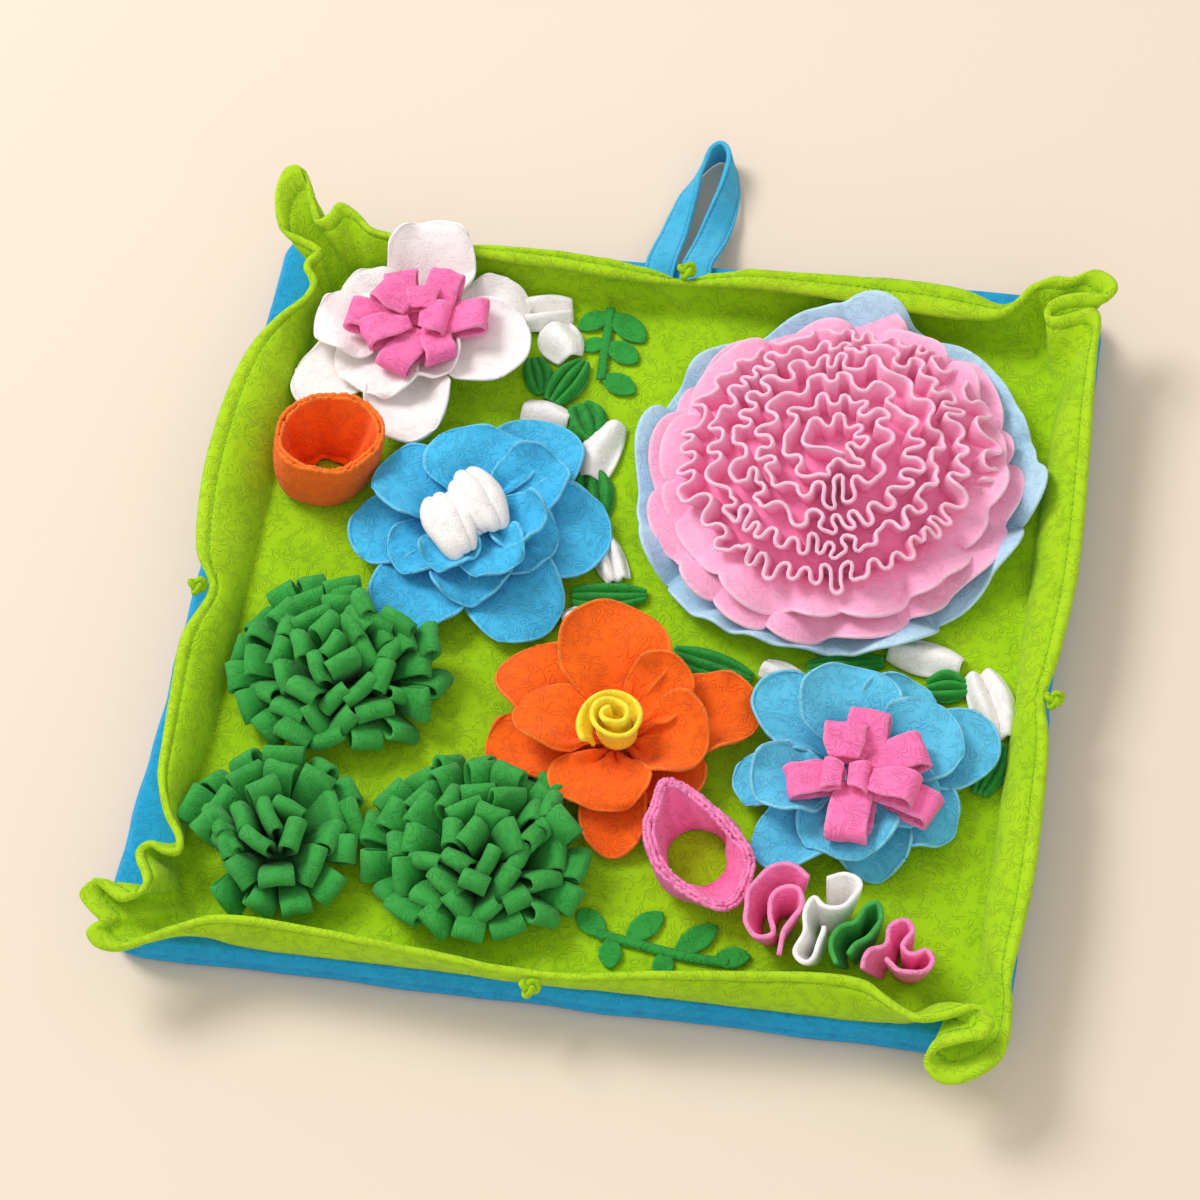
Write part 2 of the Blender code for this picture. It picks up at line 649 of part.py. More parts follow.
# columns: x, y, z, width_turn
STRAP = (
    (-16.5, 214, PAD_THICK + GAP + STRAP_THICK / 2 + 0.1, 0),
    (-16.0, 234, PAD_THICK + GAP + STRAP_THICK / 2 + 0.1, 0),
    (-15.5, 247, 17, 5),
    (-14.5, 262, 11.5, 16),
    (-12.0, 285, 10, 38),
    (-8.0, 306, 10, 62),
    (-3.0, 321, 10.2, 80),
    (3.5, 327, 10.4, 90),
    (10.0, 321, 10.2, 100),
    (12.5, 306, 10, 118),
    (11.5, 285, 10, 142),
    (8.5, 262, 11.5, 164),
    (6.5, 247, 17, 175),
    (5.0, 234, PAD_THICK + GAP + STRAP_THICK / 2 + 0.1, 180),
    (5.0, 214, PAD_THICK + GAP + STRAP_THICK / 2 + 0.1, 180),
)


def build_strap():
    """One band: flat where it is sewn in, turned on edge round the end of its loop."""
    rows = smooth_rows(STRAP, 2)
    turn = np.radians(rows[:, 3])
    across = np.column_stack([np.cos(turn), np.zeros(len(rows)), np.sin(turn)])
    centre = rows[:, :3]
    along = unit(slope(centre, 0, False))
    across = unit(across - (across * along).sum(axis=1, keepdims=True) * along)
    half = STRAP_WIDTH / 2
    grid = np.stack([centre - half * across, centre + half * across], axis=1)
    points, faces = shell(grid, STRAP_THICK)
    add_object("hang_strap", points, faces, "strap_blue")


# ---- petals --------------------------------------------------------------------------------------
def petal_grid(centre, root_radius, hub_z, row, steps):
    """Middle surface of one petal, a paddle that rises from its root and bends over to its tip."""
    turn, length, width, rise, droop, roll, cup = row
    along, across = steps
    arc = np.linspace(0, 1, 41)
    angle = np.radians(rise + (droop - rise) * arc)
    out = np.concatenate([[0], np.cumsum(np.cos((angle[1:] + angle[:-1]) / 2))]) / 40 * length
    up = np.concatenate([[0], np.cumsum(np.sin((angle[1:] + angle[:-1]) / 2))]) / 40 * length
    heading = radians(turn)
    grid = np.zeros((along + 1, across + 1, 3))
    for i in range(along + 1):
        s = -1 + 2 * i / along
        for j in range(across + 1):
            t = -1 + 2 * j / across
            x = s if s < 0 else s * sqrt(1 - t * t / 2)
            y = t if s < 0 else t * sqrt(1 - s * s / 2)
            share = 0.58 * (x + 1) if x < 0 else 0.58 + 0.42 * x
            grow = min(share / 0.5, 1.0)
            grow = grow * grow * (3 - 2 * grow)
            side = y * (ROOT_HALF + (width / 2 - ROOT_HALF) * grow)
            ramp = min(share / 0.35, 1.0)
            bend = cup * ramp * (abs(y) ** 2 - 0.35)
            lift = bend + side * sin(radians(roll)) * ramp
            radius = root_radius + np.interp(share, arc, out)
            height = hub_z + np.interp(share, arc, up) + lift
            grid[i, j] = (centre[0] + radius * cos(heading) - side * sin(heading),
                          centre[1] + radius * sin(heading) + side * cos(heading), height)
    return grid


def build_flowers():
    """Each layer is a hub with its petals run into it."""
    for name, (x, y, bottom, top, radius, root, colour, petals) in FLOWERS.items():
        parts = [add_object(name, *prism(circle(x, y, radius, 10, 11), bottom, top), colour)]
        for row in petals:
            grid = petal_grid((x, y), radius - 2.2, root, row, PETAL_STEPS)
            petal = add_object("petal", *shell(grid, PETAL_THICK), colour)
            settle(petal.data)
            parts.append(petal)
        fuse(name, parts, colour)


def loop_grid(x, y, radius, row):
    """A strip that runs outwards, turns over and comes back above itself."""
    z, turn, reach, width, rise, height = row
    half = height / 2
    profile = [(0, -half), ((reach - half) * 0.55, -half)]
    profile += [(reach - half + half * sin(a), -half * cos(a)) for a in np.linspace(0, pi, 4)]
    profile += [((reach - half) * 0.5, half * 0.9), (radius * 0.5 + 4.5, half * 0.8)]
    c, s = cos(radians(rise)), sin(radians(rise))
    heading = radians(turn)
    grid = []
    for out, up in profile:
        r = radius - 2.5 + out * c - (up + half) * s
        h = z + out * s + (up + half) * c
        edge = []
        for side in (-width / 2, width / 2):
            narrow = min(1.0, 0.42 + 0.05 * out)
            edge.append((x + r * cos(heading) - side * narrow * sin(heading),
                         y + r * sin(heading) + side * narrow * cos(heading), h))
        grid.append(edge)
    return np.array(grid)


def build_loops():
    for name, (x, y, bottom, top, radius, loops) in LOOPS.items():
        parts = [add_object(name, *prism(circle(x, y, radius, 8, 7), bottom, top), "pink")]
        for row in loops:
            grid = loop_grid(x, y, radius, row)
            parts.append(add_object("loop", *shell(grid, STRIP_THICK), "pink"))
        fuse(name, parts, "pink")


WHITE_LOBES = (
    # x, y, z, half length, width, height, heading
    (-104, 21, 60, 18, 6.5, 6, 112), (-95, 15, 61, 20, 6.5, 6, 108), (-86, 11, 60, 17, 6.0, 6, 100),
    (-97, 43, 61, 13, 5.5, 6, 70), (-88, 40, 62, 17, 6.0, 6.5, 75),
    (-78, 36, 62, 19, 6.0, 6.5, 78), (-70, 33, 60, 17, 6.0, 6, 84),
)


def build_white_core():
    """Two groups of soft lobes gathered side by side."""
    parts = [add_object("white_core", *prism(circle(-87, 29, 13, 8, 9), 50, 60), "white")]
    for x, y, z, length, width, height, heading in WHITE_LOBES:
        parts.append(ball((x, y, z), (length, width, height), 5, 4, "white", 0, heading))
    fuse("white_core", parts, "white")


def build_rosette():
    """The yellow centre: a strip rolled up and set on its edge."""
    turns, count = 1.9, 24
    path = []
    for k in range(count + 1):
        share = k / count
        angle = radians(140) + 2 * pi * turns * share
        radius = 3.2 + 12.5 * share ** 0.9
        path.append((16 + 1.1 * radius * cos(angle), -94 + radius * sin(angle)))
    add_object("yellow_rosette", *wall(path, 44.5, np.linspace(64, 56, count + 1), 2.6), "yellow")


# ---- cup and ring --------------------------------------------------------------------------------
def tube(name, rings, around, colour):
    """A hollow tube from rings of centre x, y, z, radius x, y, waves, and the slope along x and y."""
    loops = []
    for x, y, z, radius_x, radius_y, waves, slope_x, slope_y in rings:
        loop = []
        for i in range(around):
            angle = 2 * pi * i / around
            ripple = 1 + waves * cos(7 * angle)
            dx, dy = radius_x * ripple * cos(angle), radius_y * ripple * sin(angle)
            loop.append((x + dx, y + dy, z + slope_x * dx + slope_y * dy))
        loops.append(loop)
    points = np.array(loops).reshape(-1, 3)
    count = len(rings)
    faces = []
    for k in range(count):
        for i in range(around):
            j = (i + 1) % around
            m = (k + 1) % count
            faces.append((k * around + i, k * around + j, m * around + j, m * around + i))
    return add_object(name, points, faces, colour)


def build_cup():
    """The orange cup: several plies thick at its rim, gathered in round a hole at its foot."""
    tube("orange_cup", (
        (-178, 64, SEAT, 23, 22, 0.03, 0, 0),
        (-177, 65, 31, 27, 26, 0.0, 0, 0),
        (-175, 66, 45, 29.5, 28, 0.0, 0, 0),
        (-172, 68, 60, 30, 28, 0.0, 0, 0),
        (-172, 68, 60.5, 25.5, 23.5, 0.0, 0, 0),
        (-175, 66, 45, 24.5, 23, 0.02, 0, 0),
        (-177, 65, 33, 19, 18, 0.06, 0, 0),
        (-178, 64, 27, 12, 11, 0.08, 0, 0),
        (-178, 64, SEAT, 11.5, 10.5, 0.04, 0, 0),
    ), 21, "orange")


def build_ring():
    """The pink ring: a short tube leaning to the right and to the front."""
    tube("pink_ring", (
        (68, -152, SEAT, 23, 24, 0.0, 0.0, 0.0),
        (68, -153, 33, 26, 28, 0.0, -0.04, 0.02),
        (72, -156, 46, 28.5, 31, 0.0, -0.18, 0.12),
        (72.5, -156.5, 47, 24, 26.5, 0.0, -0.18, 0.12),
        (69, -153.5, 34, 21.5, 23.5, 0.0, -0.04, 0.02),
        (68, -152, SEAT, 19, 20, 0.0, 0.0, 0.0),
    ), 18, "pink")


# ---- carnation -----------------------------------------------------------------------------------
CARNATION = (106, 86)         # its middle
BASE_RADII = (112, 114)


def build_carnation_base():
    """The light blue disc: flat in the middle, rippled more and more to its edge."""
    around, rings = 36, ((0.6, 0.0), (0.89, 0.12), (1.0, 1.0))
    low = SEAT + 1.0          # middle of the cloth where it lies on the floor
    grid = np.zeros((around, len(rings), 3))
    for i in range(around):
        angle = 2 * pi * i / around
        wave = sin(10 * angle + 0.8 * sin(3 * angle)) + 0.35 * sin(4 * angle + 1)
        scallop = 1 + 0.03 * sin(5 * angle + 0.6)
        for j, (share, amount) in enumerate(rings):
            x = CARNATION[0] + BASE_RADII[0] * share * scallop ** amount * cos(angle)
            y = CARNATION[1] + BASE_RADII[1] * share * scallop ** amount * sin(angle)
            grid[i, j] = (x, y, low + 6.0 * amount + 4.0 * amount * wave)
    points, faces = shell(grid, 2.0, closed=True, caps=True)
    add_object("carnation_base", points, faces, "light_blue")


def build_carnation_ruffle():
    """One long strip on edge: a spiral that winds in, folding to and fro all the way."""
    pitch, outer, inner = 18.0, 92.0, 14.0
    wave_length, swing, stretch = 30.0, 6.8, 1.04
    corners = ((-0.26, 1), (0.26, 1), (0.26, -1), (0.74, -1))      # share of a wave, side
    points = []
    angle = 0.0
    while outer - pitch * angle / (2 * pi) > inner:
        radius = outer - pitch * angle / (2 * pi)
        step = wave_length * min(1.0, 0.55 + radius / 70) / max(radius, 9.0)
        for share, side in corners:
            turn = angle + share * step
            r = radius + side * min(swing, 0.42 * radius) + 0.5 * sin(3.1 * angle + 2 * side)
            out = np.array([cos(turn + 0.6), stretch * sin(turn + 0.6)])
            low = CARNATION + r * out
            high = CARNATION + r * (1 + 0.12 * (radius / outer) ** 2) * out
            bottom = SEAT + 2.5 + 4.2 * min(1.0, max(0.0, (r - 55) / 35))
            top = 36 + 39 * sqrt(max(0.0, 1 - (radius / (outer + 2)) ** 2)) + 1.2 * sin(5.3 * turn)
            points.append(((*low, bottom), (*high, top)))
        angle += step
    add_object("carnation_ruffle", *shell(np.array(points), 2.2), "ruffle_pink")


# ---- tufts ---------------------------------------------------------------------------------------
def lock(x, y, z, heading, lean, twist):
    """One folded strip: a narrow root, widening to its folded end, leaning outwards."""
    c, s = cos(radians(lean)), sin(radians(lean))
    out = np.array([s * cos(heading), s * sin(heading), c])
    side = np.array([-sin(heading + twist), cos(heading + twist), 0.0])
    side = unit(side - side.dot(out) * out)
    flat = np.cross(out, side)
    points = []
    for along, (width, thick) in ((-4.0, LOCK_ROOT), (LOCK_LENGTH, LOCK_TIP)):
        for a, b in ((-1, -1), (1, -1), (1, 1), (-1, 1)):
            points.append(np.array([x, y, z]) + along * out + a * width / 2 * side + b * thick / 2 * flat)
    faces = [(0, 1, 2, 3), (7, 6, 5, 4), (0, 1, 5, 4), (1, 2, 6, 5), (2, 3, 7, 6), (3, 0, 4, 7)]
    return add_object("lock", points, faces, "leaf")


def build_tufts():
    """Rings of folded strips standing out of a low round backing."""
    for name, (x, y, spread_x, spread_y, clear, rings) in TUFTS.items():
        foot_x, foot_y = TUFT_FOOT * spread_x, TUFT_FOOT * spread_y
        outline = circle(0, 0, 1.0, 16) * (foot_x, foot_y) + (x, y)
        parts = [add_object(name, *prism(outline, SEAT, SEAT + BACKING), "leaf")]
        for share, count, lean in rings:
            for k in range(count):
                heading = 2 * pi * (k + 0.5 * (count % 2)) / count + 0.35 * share
                px, py = x + share * foot_x * cos(heading), y + share * foot_y * sin(heading)
                way = atan2(sin(heading) * spread_x, cos(heading) * spread_y) + 0.08 * sin(5.1 * k)
                reach = LOCK_LENGTH * sin(radians(lean))
                tip_x, tip_y = px + reach * cos(way), py + reach * sin(way)
                if any(hypot(tip_x - a, tip_y - b) < limit for a, b, limit in clear):
                    continue
                twist = radians(10.0) * sin(2.4 * k + 9 * share)
                height = SEAT + BACKING * (0.9 + 0.5 * (1 - share))
                parts.append(lock(px, py, height, way, lean + 3 * sin(1.9 * k), twist))
        fuse(name, parts, "leaf")


# ---- standing strips, buds, leaves and sprigs ----------------------------------------------------
def build_strips():
    for name, (colour, height, thickness, points) in STRIPS.items():
        path = smooth_rows(points, 2)
        add_object(name, *wall(path, SEAT, SEAT + height, thickness), colour)


def folded_piece(name, x, y, turn, length, width, height, folds, colour):
    """A small piece of cloth laid in pleats, narrowing at both ends."""
    along = 3
    across = 2 * folds
    grid = np.zeros((along + 1, across + 1, 3))
    c, s = cos(radians(turn)), sin(radians(turn))
    thick = 2.0
    for i in range(along + 1):
        u = i / along
        taper = 0.45 + 0.55 * sin(pi * min(1.0, u * 0.8 + 0.14))
        for j in range(across + 1):
            v = -1 + 2 * j / across
            ridge = 0.5 * (1 - cos(pi * j)) * (height - thick - 0.6) * taper
            px, py = (u - 0.5) * length, v * width / 2 * taper
            grid[i, j] = (x + px * c - py * s, y + px * s + py * c, SEAT + thick / 2 + ridge)
    points, faces = shell(grid, thick)
    points[:, 2] += SEAT - points[:, 2].min()
    return add_object(name, points, faces, colour)


def build_tucked():
    for k, row in enumerate(BUDS, 1):
        folded_piece(f"bud_{k}", *row, 1, "white")
    for k, row in enumerate(LEAVES, 1):
        folded_piece(f"leaf_{k}", *row, 2, "leaf")


def leaf_outline(x, y, turn, length, width):
    """A pointed oval that starts at its foot."""
    c, s = cos(radians(turn)), sin(radians(turn))
    shape = ((0, 1.2), (0.3, 0.43 * width), (0.62, 0.5 * width), (0.88, 0.3 * width), (1, 0.06 * width))
    side = [(u * length, w) for u, w in shape]
    outline = side + [(u, -w) for u, w in reversed(side)]
    return [(x + u * c - w * s, y + u * s + w * c) for u, w in outline]


def build_sprigs():
    for name, (stem, leaves) in SPRIGS.items():
        stem = np.array(stem, float)
        way = unit(slope(stem, 0, False))
        side = np.column_stack([-way[:, 1], way[:, 0]]) * 2.4
        outline = np.concatenate([stem + side, (stem - side)[::-1]])
        parts = [add_object(name, *prism(outline, SEAT, SEAT + 2.6), "leaf")]
        for row in leaves:
            parts.append(add_object("leaf", *prism(leaf_outline(*row), SEAT + 0.1, SEAT + 1.5), "leaf"))
        fuse(name, parts, "leaf")


def main():
    clear_scene()
    build_pad()
    build_top_sheet()
    build_knots()
    build_strap()
    build_flowers()
    build_loops()
    build_white_core()
    build_rosette()
    build_cup()
    build_ring()
    build_carnation_base()
    build_carnation_ruffle()
    build_tufts()
    build_strips()
    build_tucked()
    build_sprigs()


main()
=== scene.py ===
"""Looks of the snuffle mat: every cloth piece again as a fine thin sheet with its folds, hems and
stitches, the fleece and felt finishes, the studio floor, the lights and the camera.

Tables and lengths are in millimetres and headings in degrees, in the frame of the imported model.
"""
from math import atan2, cos, hypot, pi, radians, sin

import bmesh
import bpy
import numpy as np
from mathutils import Matrix, Vector


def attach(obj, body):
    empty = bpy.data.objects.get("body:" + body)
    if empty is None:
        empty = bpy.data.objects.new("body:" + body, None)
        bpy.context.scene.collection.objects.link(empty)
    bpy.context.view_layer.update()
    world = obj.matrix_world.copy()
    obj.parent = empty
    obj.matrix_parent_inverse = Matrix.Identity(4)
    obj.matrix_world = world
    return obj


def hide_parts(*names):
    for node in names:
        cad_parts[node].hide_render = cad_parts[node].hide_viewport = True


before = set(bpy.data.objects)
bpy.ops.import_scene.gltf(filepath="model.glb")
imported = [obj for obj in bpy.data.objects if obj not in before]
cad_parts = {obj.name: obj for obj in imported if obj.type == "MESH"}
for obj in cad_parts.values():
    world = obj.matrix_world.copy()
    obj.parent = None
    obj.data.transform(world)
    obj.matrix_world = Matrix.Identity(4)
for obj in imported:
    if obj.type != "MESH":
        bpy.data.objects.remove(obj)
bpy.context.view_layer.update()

MM = 0.001
FLOOR_TOP = 22.3              # upper face of the lime floor
SEAT = 22.6                   # lowest height of what is sewn on it
# in metres: no side of a sheet's cut is said to be shorter
LEAST_CUT = 0.0101            # in metres: the least strip width and length that a piece is worked out with


# ---- finishes ------------------------------------------------------------------------------------
class Wire:
    """A socket that takes part in sums: each operator adds its Math node."""

    def __init__(self, board, socket):
        self.board, self.socket = board, socket

    def math(self, operation, *values):
        return self.board.node("ShaderNodeMath", {"operation": operation}, *values)

    def __add__(self, other):
        return self.math("ADD", self, other)

    def __sub__(self, other):
        return self.math("SUBTRACT", self, other)

    def __rsub__(self, other):
        return self.math("SUBTRACT", other, self)

    def __mul__(self, other):
        return self.math("MULTIPLY", self, other)

    __radd__ = __add__
    __rmul__ = __mul__

    def fraction(self):
        return self.math("FRACT", self)

    def size(self):
        return self.math("ABSOLUTE", self)

    def above(self, low, high):
        """0 below low, 1 above high, and a soft step between them."""
        return self.board.node("ShaderNodeMapRange", {"interpolation_type": "SMOOTHSTEP"},
                               self, low, high, 0.0, 1.0)


class Board:
    """The nodes of one material."""

    def __init__(self, name):
        self.material = bpy.data.materials.new(name)
        self.material.use_nodes = True
        self.tree = self.material.node_tree
        self.shader = self.tree.nodes["Principled BSDF"]
        self.place = self.node("ShaderNodeTexCoord", out=3)

    def feed(self, node, key, value):
        if isinstance(value, Wire):
            self.tree.links.new(value.socket, node.inputs[key])
        else:
            node.inputs[key].default_value = value

    def node(self, kind, settings=None, *values, out=0, **named):
        """One node: its settings first, then its sockets by order or by name."""
        made = self.tree.nodes.new(kind)
        for key, value in (settings or {}).items():
            setattr(made, key, value)
        for key, value in [*enumerate(values), *named.items()]:
            self.feed(made, key if isinstance(key, int) else key.replace("_", " "), value)
        return Wire(self, made.outputs[out])

    def noise(self, scale, detail=2.0, distortion=0.0):
        return self.node("ShaderNodeTexNoise", None, Vector=self.place, Scale=scale, Detail=detail,
                         Distortion=distortion)

    def blend(self, share, first, second):
        made = self.tree.nodes.new("ShaderNodeMix")
        made.data_type = "RGBA"
        for key, value in ((0, share), (6, first), (7, second)):
            self.feed(made, key, value)
        return Wire(self, made.outputs[2])

    def finish(self, colour, roughness, height, strength, depth, **constants):
        """The material: what changes over it, its relief (depth in millimetres), and the rest."""
        bump = self.node("ShaderNodeBump", None, Strength=strength, Distance=depth * MM,
                         Height=height)
        self.feed(self.shader, "Base Color", colour)
        self.feed(self.shader, "Roughness", roughness)
        self.feed(self.shader, "Normal", bump)
        for key, value in constants.items():
            self.shader.inputs[key.replace("_", " ")].default_value = value
        return self.material


def linear(red, green, blue):
    """A colour given in screen values, as the shader wants it."""
    return tuple((c / 255 / 12.92) if c <= 10 else ((c / 255 + 0.055) / 1.055) ** 2.4
                 for c in (red, green, blue)) + (1.0,)


# noise scales, in waves per metre
PATCH, MOTTLE, PILE, CURL, CURL_BREAK, TWIST, GRAIN = 22.0, 330.0, 2300.0, 105.0, 150.0, 1500.0, 900.0
CURL_LINES = 12.0             # pressed lines from the curl field's 0 to its 1


def fleece(name, base, shade, light, emboss=1.0):
    """Soft pressed fleece: pile, mottling, and short curls pressed into it.

    The sheet's painted light is 0 deep in a fold, where shade is painted, and 1 at a cut edge or a
    crest, where a highlight is painted; on the blushed and pale blue fleece its low end also brings
    their own pink or lavender near the middle."""
    board = Board(name)
    painted_light = board.node("ShaderNodeAttribute", {"attribute_name": "painted_light"}, out=2)
    base, shade, light = linear(*base), linear(*shade), linear(*light)
    mottle = board.noise(MOTTLE, 4.0)
    curl = ((board.noise(CURL, 1.0, 0.5) * CURL_LINES).fraction() - 0.5).size() * 2.0
    broken = board.noise(CURL_BREAK, 1.0).above(0.4, 0.52)
    pressed = (1.0 - curl.above(0.04, 0.36)) * broken * emboss
    colour = board.blend(board.noise(PATCH, 3.0).above(0.4, 0.72) * 0.35, base, shade)
    colour = board.blend((mottle - 0.5) * 0.45 + 0.12, colour, light)
    colour = board.blend(pressed * 0.2, colour, shade)
    # painted highlight at cut edges and crests
    colour = board.blend(painted_light.above(0.5, 1.0) * 0.6, colour, light)
    # painted shade deep in folds; on the blushed and pale blue fleece also their own pink or lavender
    # near the middle
    colour = board.blend((1.0 - painted_light.above(0.0, 0.45)) * 0.7, colour, shade)
    height = board.noise(PILE, 2.0) * 0.3 + mottle * 0.5 - pressed * 0.55
    sheen = tuple(0.5 + 0.5 * c for c in light[:3]) + (1.0,)
    return board.finish(colour, mottle * 0.12 + 0.84, height, 0.9, 0.8, Sheen_Weight=0.18,
                        Sheen_Roughness=0.45, Sheen_Tint=sheen, Specular_IOR_Level=0.2)


def thread(name, base, shade):
    """Twisted sewing thread."""
    board = Board(name)
    twist = board.noise(TWIST, 1.0)
    # painted shade between the strands, in random spots
    colour = board.blend(twist.above(0.35, 0.65), linear(*shade), linear(*base))
    return board.finish(colour, twist * 0.1 + 0.6, twist, 0.5, 0.2, Sheen_Weight=0.2)


def pale_floor():
    board = Board("studio_floor")
    grain = board.noise(GRAIN, 2.0)
    colour = board.blend(grain * 0.06, linear(234, 216, 198), linear(226, 206, 187))
    return board.finish(colour, grain * 0.05 + 0.8, grain, 0.05, 0.2, Specular_IOR_Level=0.15)


FINISH = {
    # fleece: base, darker (random patches, pressed curls and painted shade in folds), lighter
    # (mottling and painted highlight at cut edges and crests), depth of the pressed curls
    "lime": fleece("lime_fleece", (160, 209, 8), (124, 180, 2), (188, 226, 42)),
    "pad_blue": fleece("pad_cover", (28, 158, 210), (10, 124, 182), (70, 186, 228), 0.7),
    "strap_blue": fleece("strap_cloth", (62, 178, 222), (30, 146, 200), (112, 204, 236), 0.5),
    "blue": fleece("blue_fleece", (60, 188, 238), (22, 146, 210), (132, 218, 248), 0.9),
    "sky": fleece("sky_fleece", (88, 197, 232), (42, 154, 211), (150, 222, 245), 0.9),
    "light_blue": fleece("pale_blue_fleece", (174, 218, 243), (156, 184, 234), (208, 236, 250), 0.6),
    "white": fleece("white_fleece", (250, 246, 243), (234, 228, 226), (255, 254, 252), 0.5),
    "blush": fleece("blushed_fleece", (251, 247, 245), (250, 230, 233), (255, 253, 251), 0.4),
    "pink": fleece("pink_fleece", (255, 119, 181), (243, 82, 154), (255, 160, 205)),
    "ruffle_pink": fleece("ruffle_fleece", (255, 174, 211), (252, 124, 182), (255, 217, 233), 0.45),
    "orange": fleece("orange_fleece", (255, 102, 14), (240, 70, 3), (255, 138, 52)),
    "yellow": fleece("yellow_fleece", (255, 226, 16), (252, 200, 2), (255, 240, 84), 0.6),
    "leaf": fleece("green_fleece", (44, 152, 56), (24, 114, 38), (80, 180, 86)),
    # thread: base, painted shade between its strands
    "lime_thread": thread("lime_thread", (160, 204, 30), (110, 158, 10)),
    "blue_thread": thread("blue_thread", (46, 158, 206), (20, 118, 168)),
    "green_thread": thread("green_thread", (34, 120, 52), (16, 84, 32)),
}


# ---- points --------------------------------------------------------------------------------------
def unit(vectors):
    vectors = np.asarray(vectors, float)
    return vectors / np.maximum(np.linalg.norm(vectors, axis=-1, keepdims=True), 1e-9)


def slope(grid, axis, closed):
    if closed:
        return np.roll(grid, -1, axis=axis) - np.roll(grid, 1, axis=axis)
    return np.gradient(grid, axis=axis)


def sideways(path, closed=False):
    """Unit vectors square to a flat path."""
    along = unit(slope(path, 0, closed))
    return np.column_stack([-along[:, 1], along[:, 0]])


def circle(count):
    return 2 * pi * np.arange(count) / count


def running(steps):
    return np.concatenate([[0], np.cumsum(steps)])


def run_along(path):
    """How far along a path each of its points is."""
    return running(np.linalg.norm(np.diff(path, axis=0), axis=1))


def ring_points(centre, reach_x, reach_y, angle, height):
    """Points round a centre, at the given reach along x and along y, and height."""
    return np.stack(np.broadcast_arrays(centre[0] + reach_x * np.cos(angle),
                                        centre[1] + reach_y * np.sin(angle), height), axis=-1)


def turned(x, y, heading, along, across):
    """The x and y of points that are given along and across a heading."""
    c, s = cos(radians(heading)), sin(radians(heading))
    return x + along * c - across * s, y + along * s + across * c


def smooth_rows(rows, steps, closed=False):
    """A Catmull-Rom curve through the rows, with so many steps from each row to the next."""
    rows = np.asarray(rows, float)
    count = len(rows)
    out = []
    for i in range(count if closed else count - 1):
        a, b, c, d = (rows[(i + k) % count if closed else min(max(i + k, 0), count - 1)]
                      for k in (-1, 0, 1, 2))
        for t in np.arange(steps) / steps:
            out.append(0.5 * (2 * b + (c - a) * t + (2 * a - 5 * b + 4 * c - d) * t * t
                              + (3 * b - a - 3 * c + d) * t ** 3))
    return np.array(out if closed else out + [rows[-1]])


def wobble(points, size, seed=0):
    """A smooth field from -1 to 1 over points, whose lumps are about size across."""
    chance = np.random.default_rng(seed)
    total = 0.0
    for _ in range(6):
        way = unit(chance.normal(size=3)) * (2 * pi / size) * chance.uniform(0.6, 1.5)
        total = total + np.sin(np.asarray(points) @ way + chance.uniform(0, 2 * pi))
    return total / 3.2


# ---- meshes: each part is its points, its faces and its painted light and shade --------------------
def put(name, data):
    """A new object in the scene, at the origin."""
    thing = bpy.data.objects.new(name, data)
    bpy.context.collection.objects.link(thing)
    return thing


def make_mesh(name, part, finish):
    """A shaded object of a part in millimetres, its faces turned outwards."""
    points, faces, painted_light = part
    mesh = bpy.data.meshes.new(name)
    mesh.from_pydata((np.asarray(points, float) * MM).tolist(), [], faces)
    # the painted light and shade that the fleece finishes read
    layer = mesh.attributes.new("painted_light", "FLOAT", "POINT")
    layer.data.foreach_set("value", np.asarray(painted_light, np.float32))
    bm = bmesh.new()
    bm.from_mesh(mesh)
    bmesh.ops.recalc_face_normals(bm, faces=bm.faces)
    bm.to_mesh(mesh)
    bm.free()
    mesh.shade_smooth()
    mesh.materials.append(FINISH[finish])
    return put(name, mesh)


def gather(parts):
    """Several parts as one."""
    points, faces, painted_lights, start = [], [], [], 0
    for part_points, part_faces, part_painted_light in parts:
        points.append(np.asarray(part_points, float))
        faces += [tuple(start + k for k in face) for face in part_faces]
        painted_lights.append(np.broadcast_to(part_painted_light, len(part_points)))
        start += len(part_points)
    return np.concatenate(points), faces, np.concatenate(painted_lights)


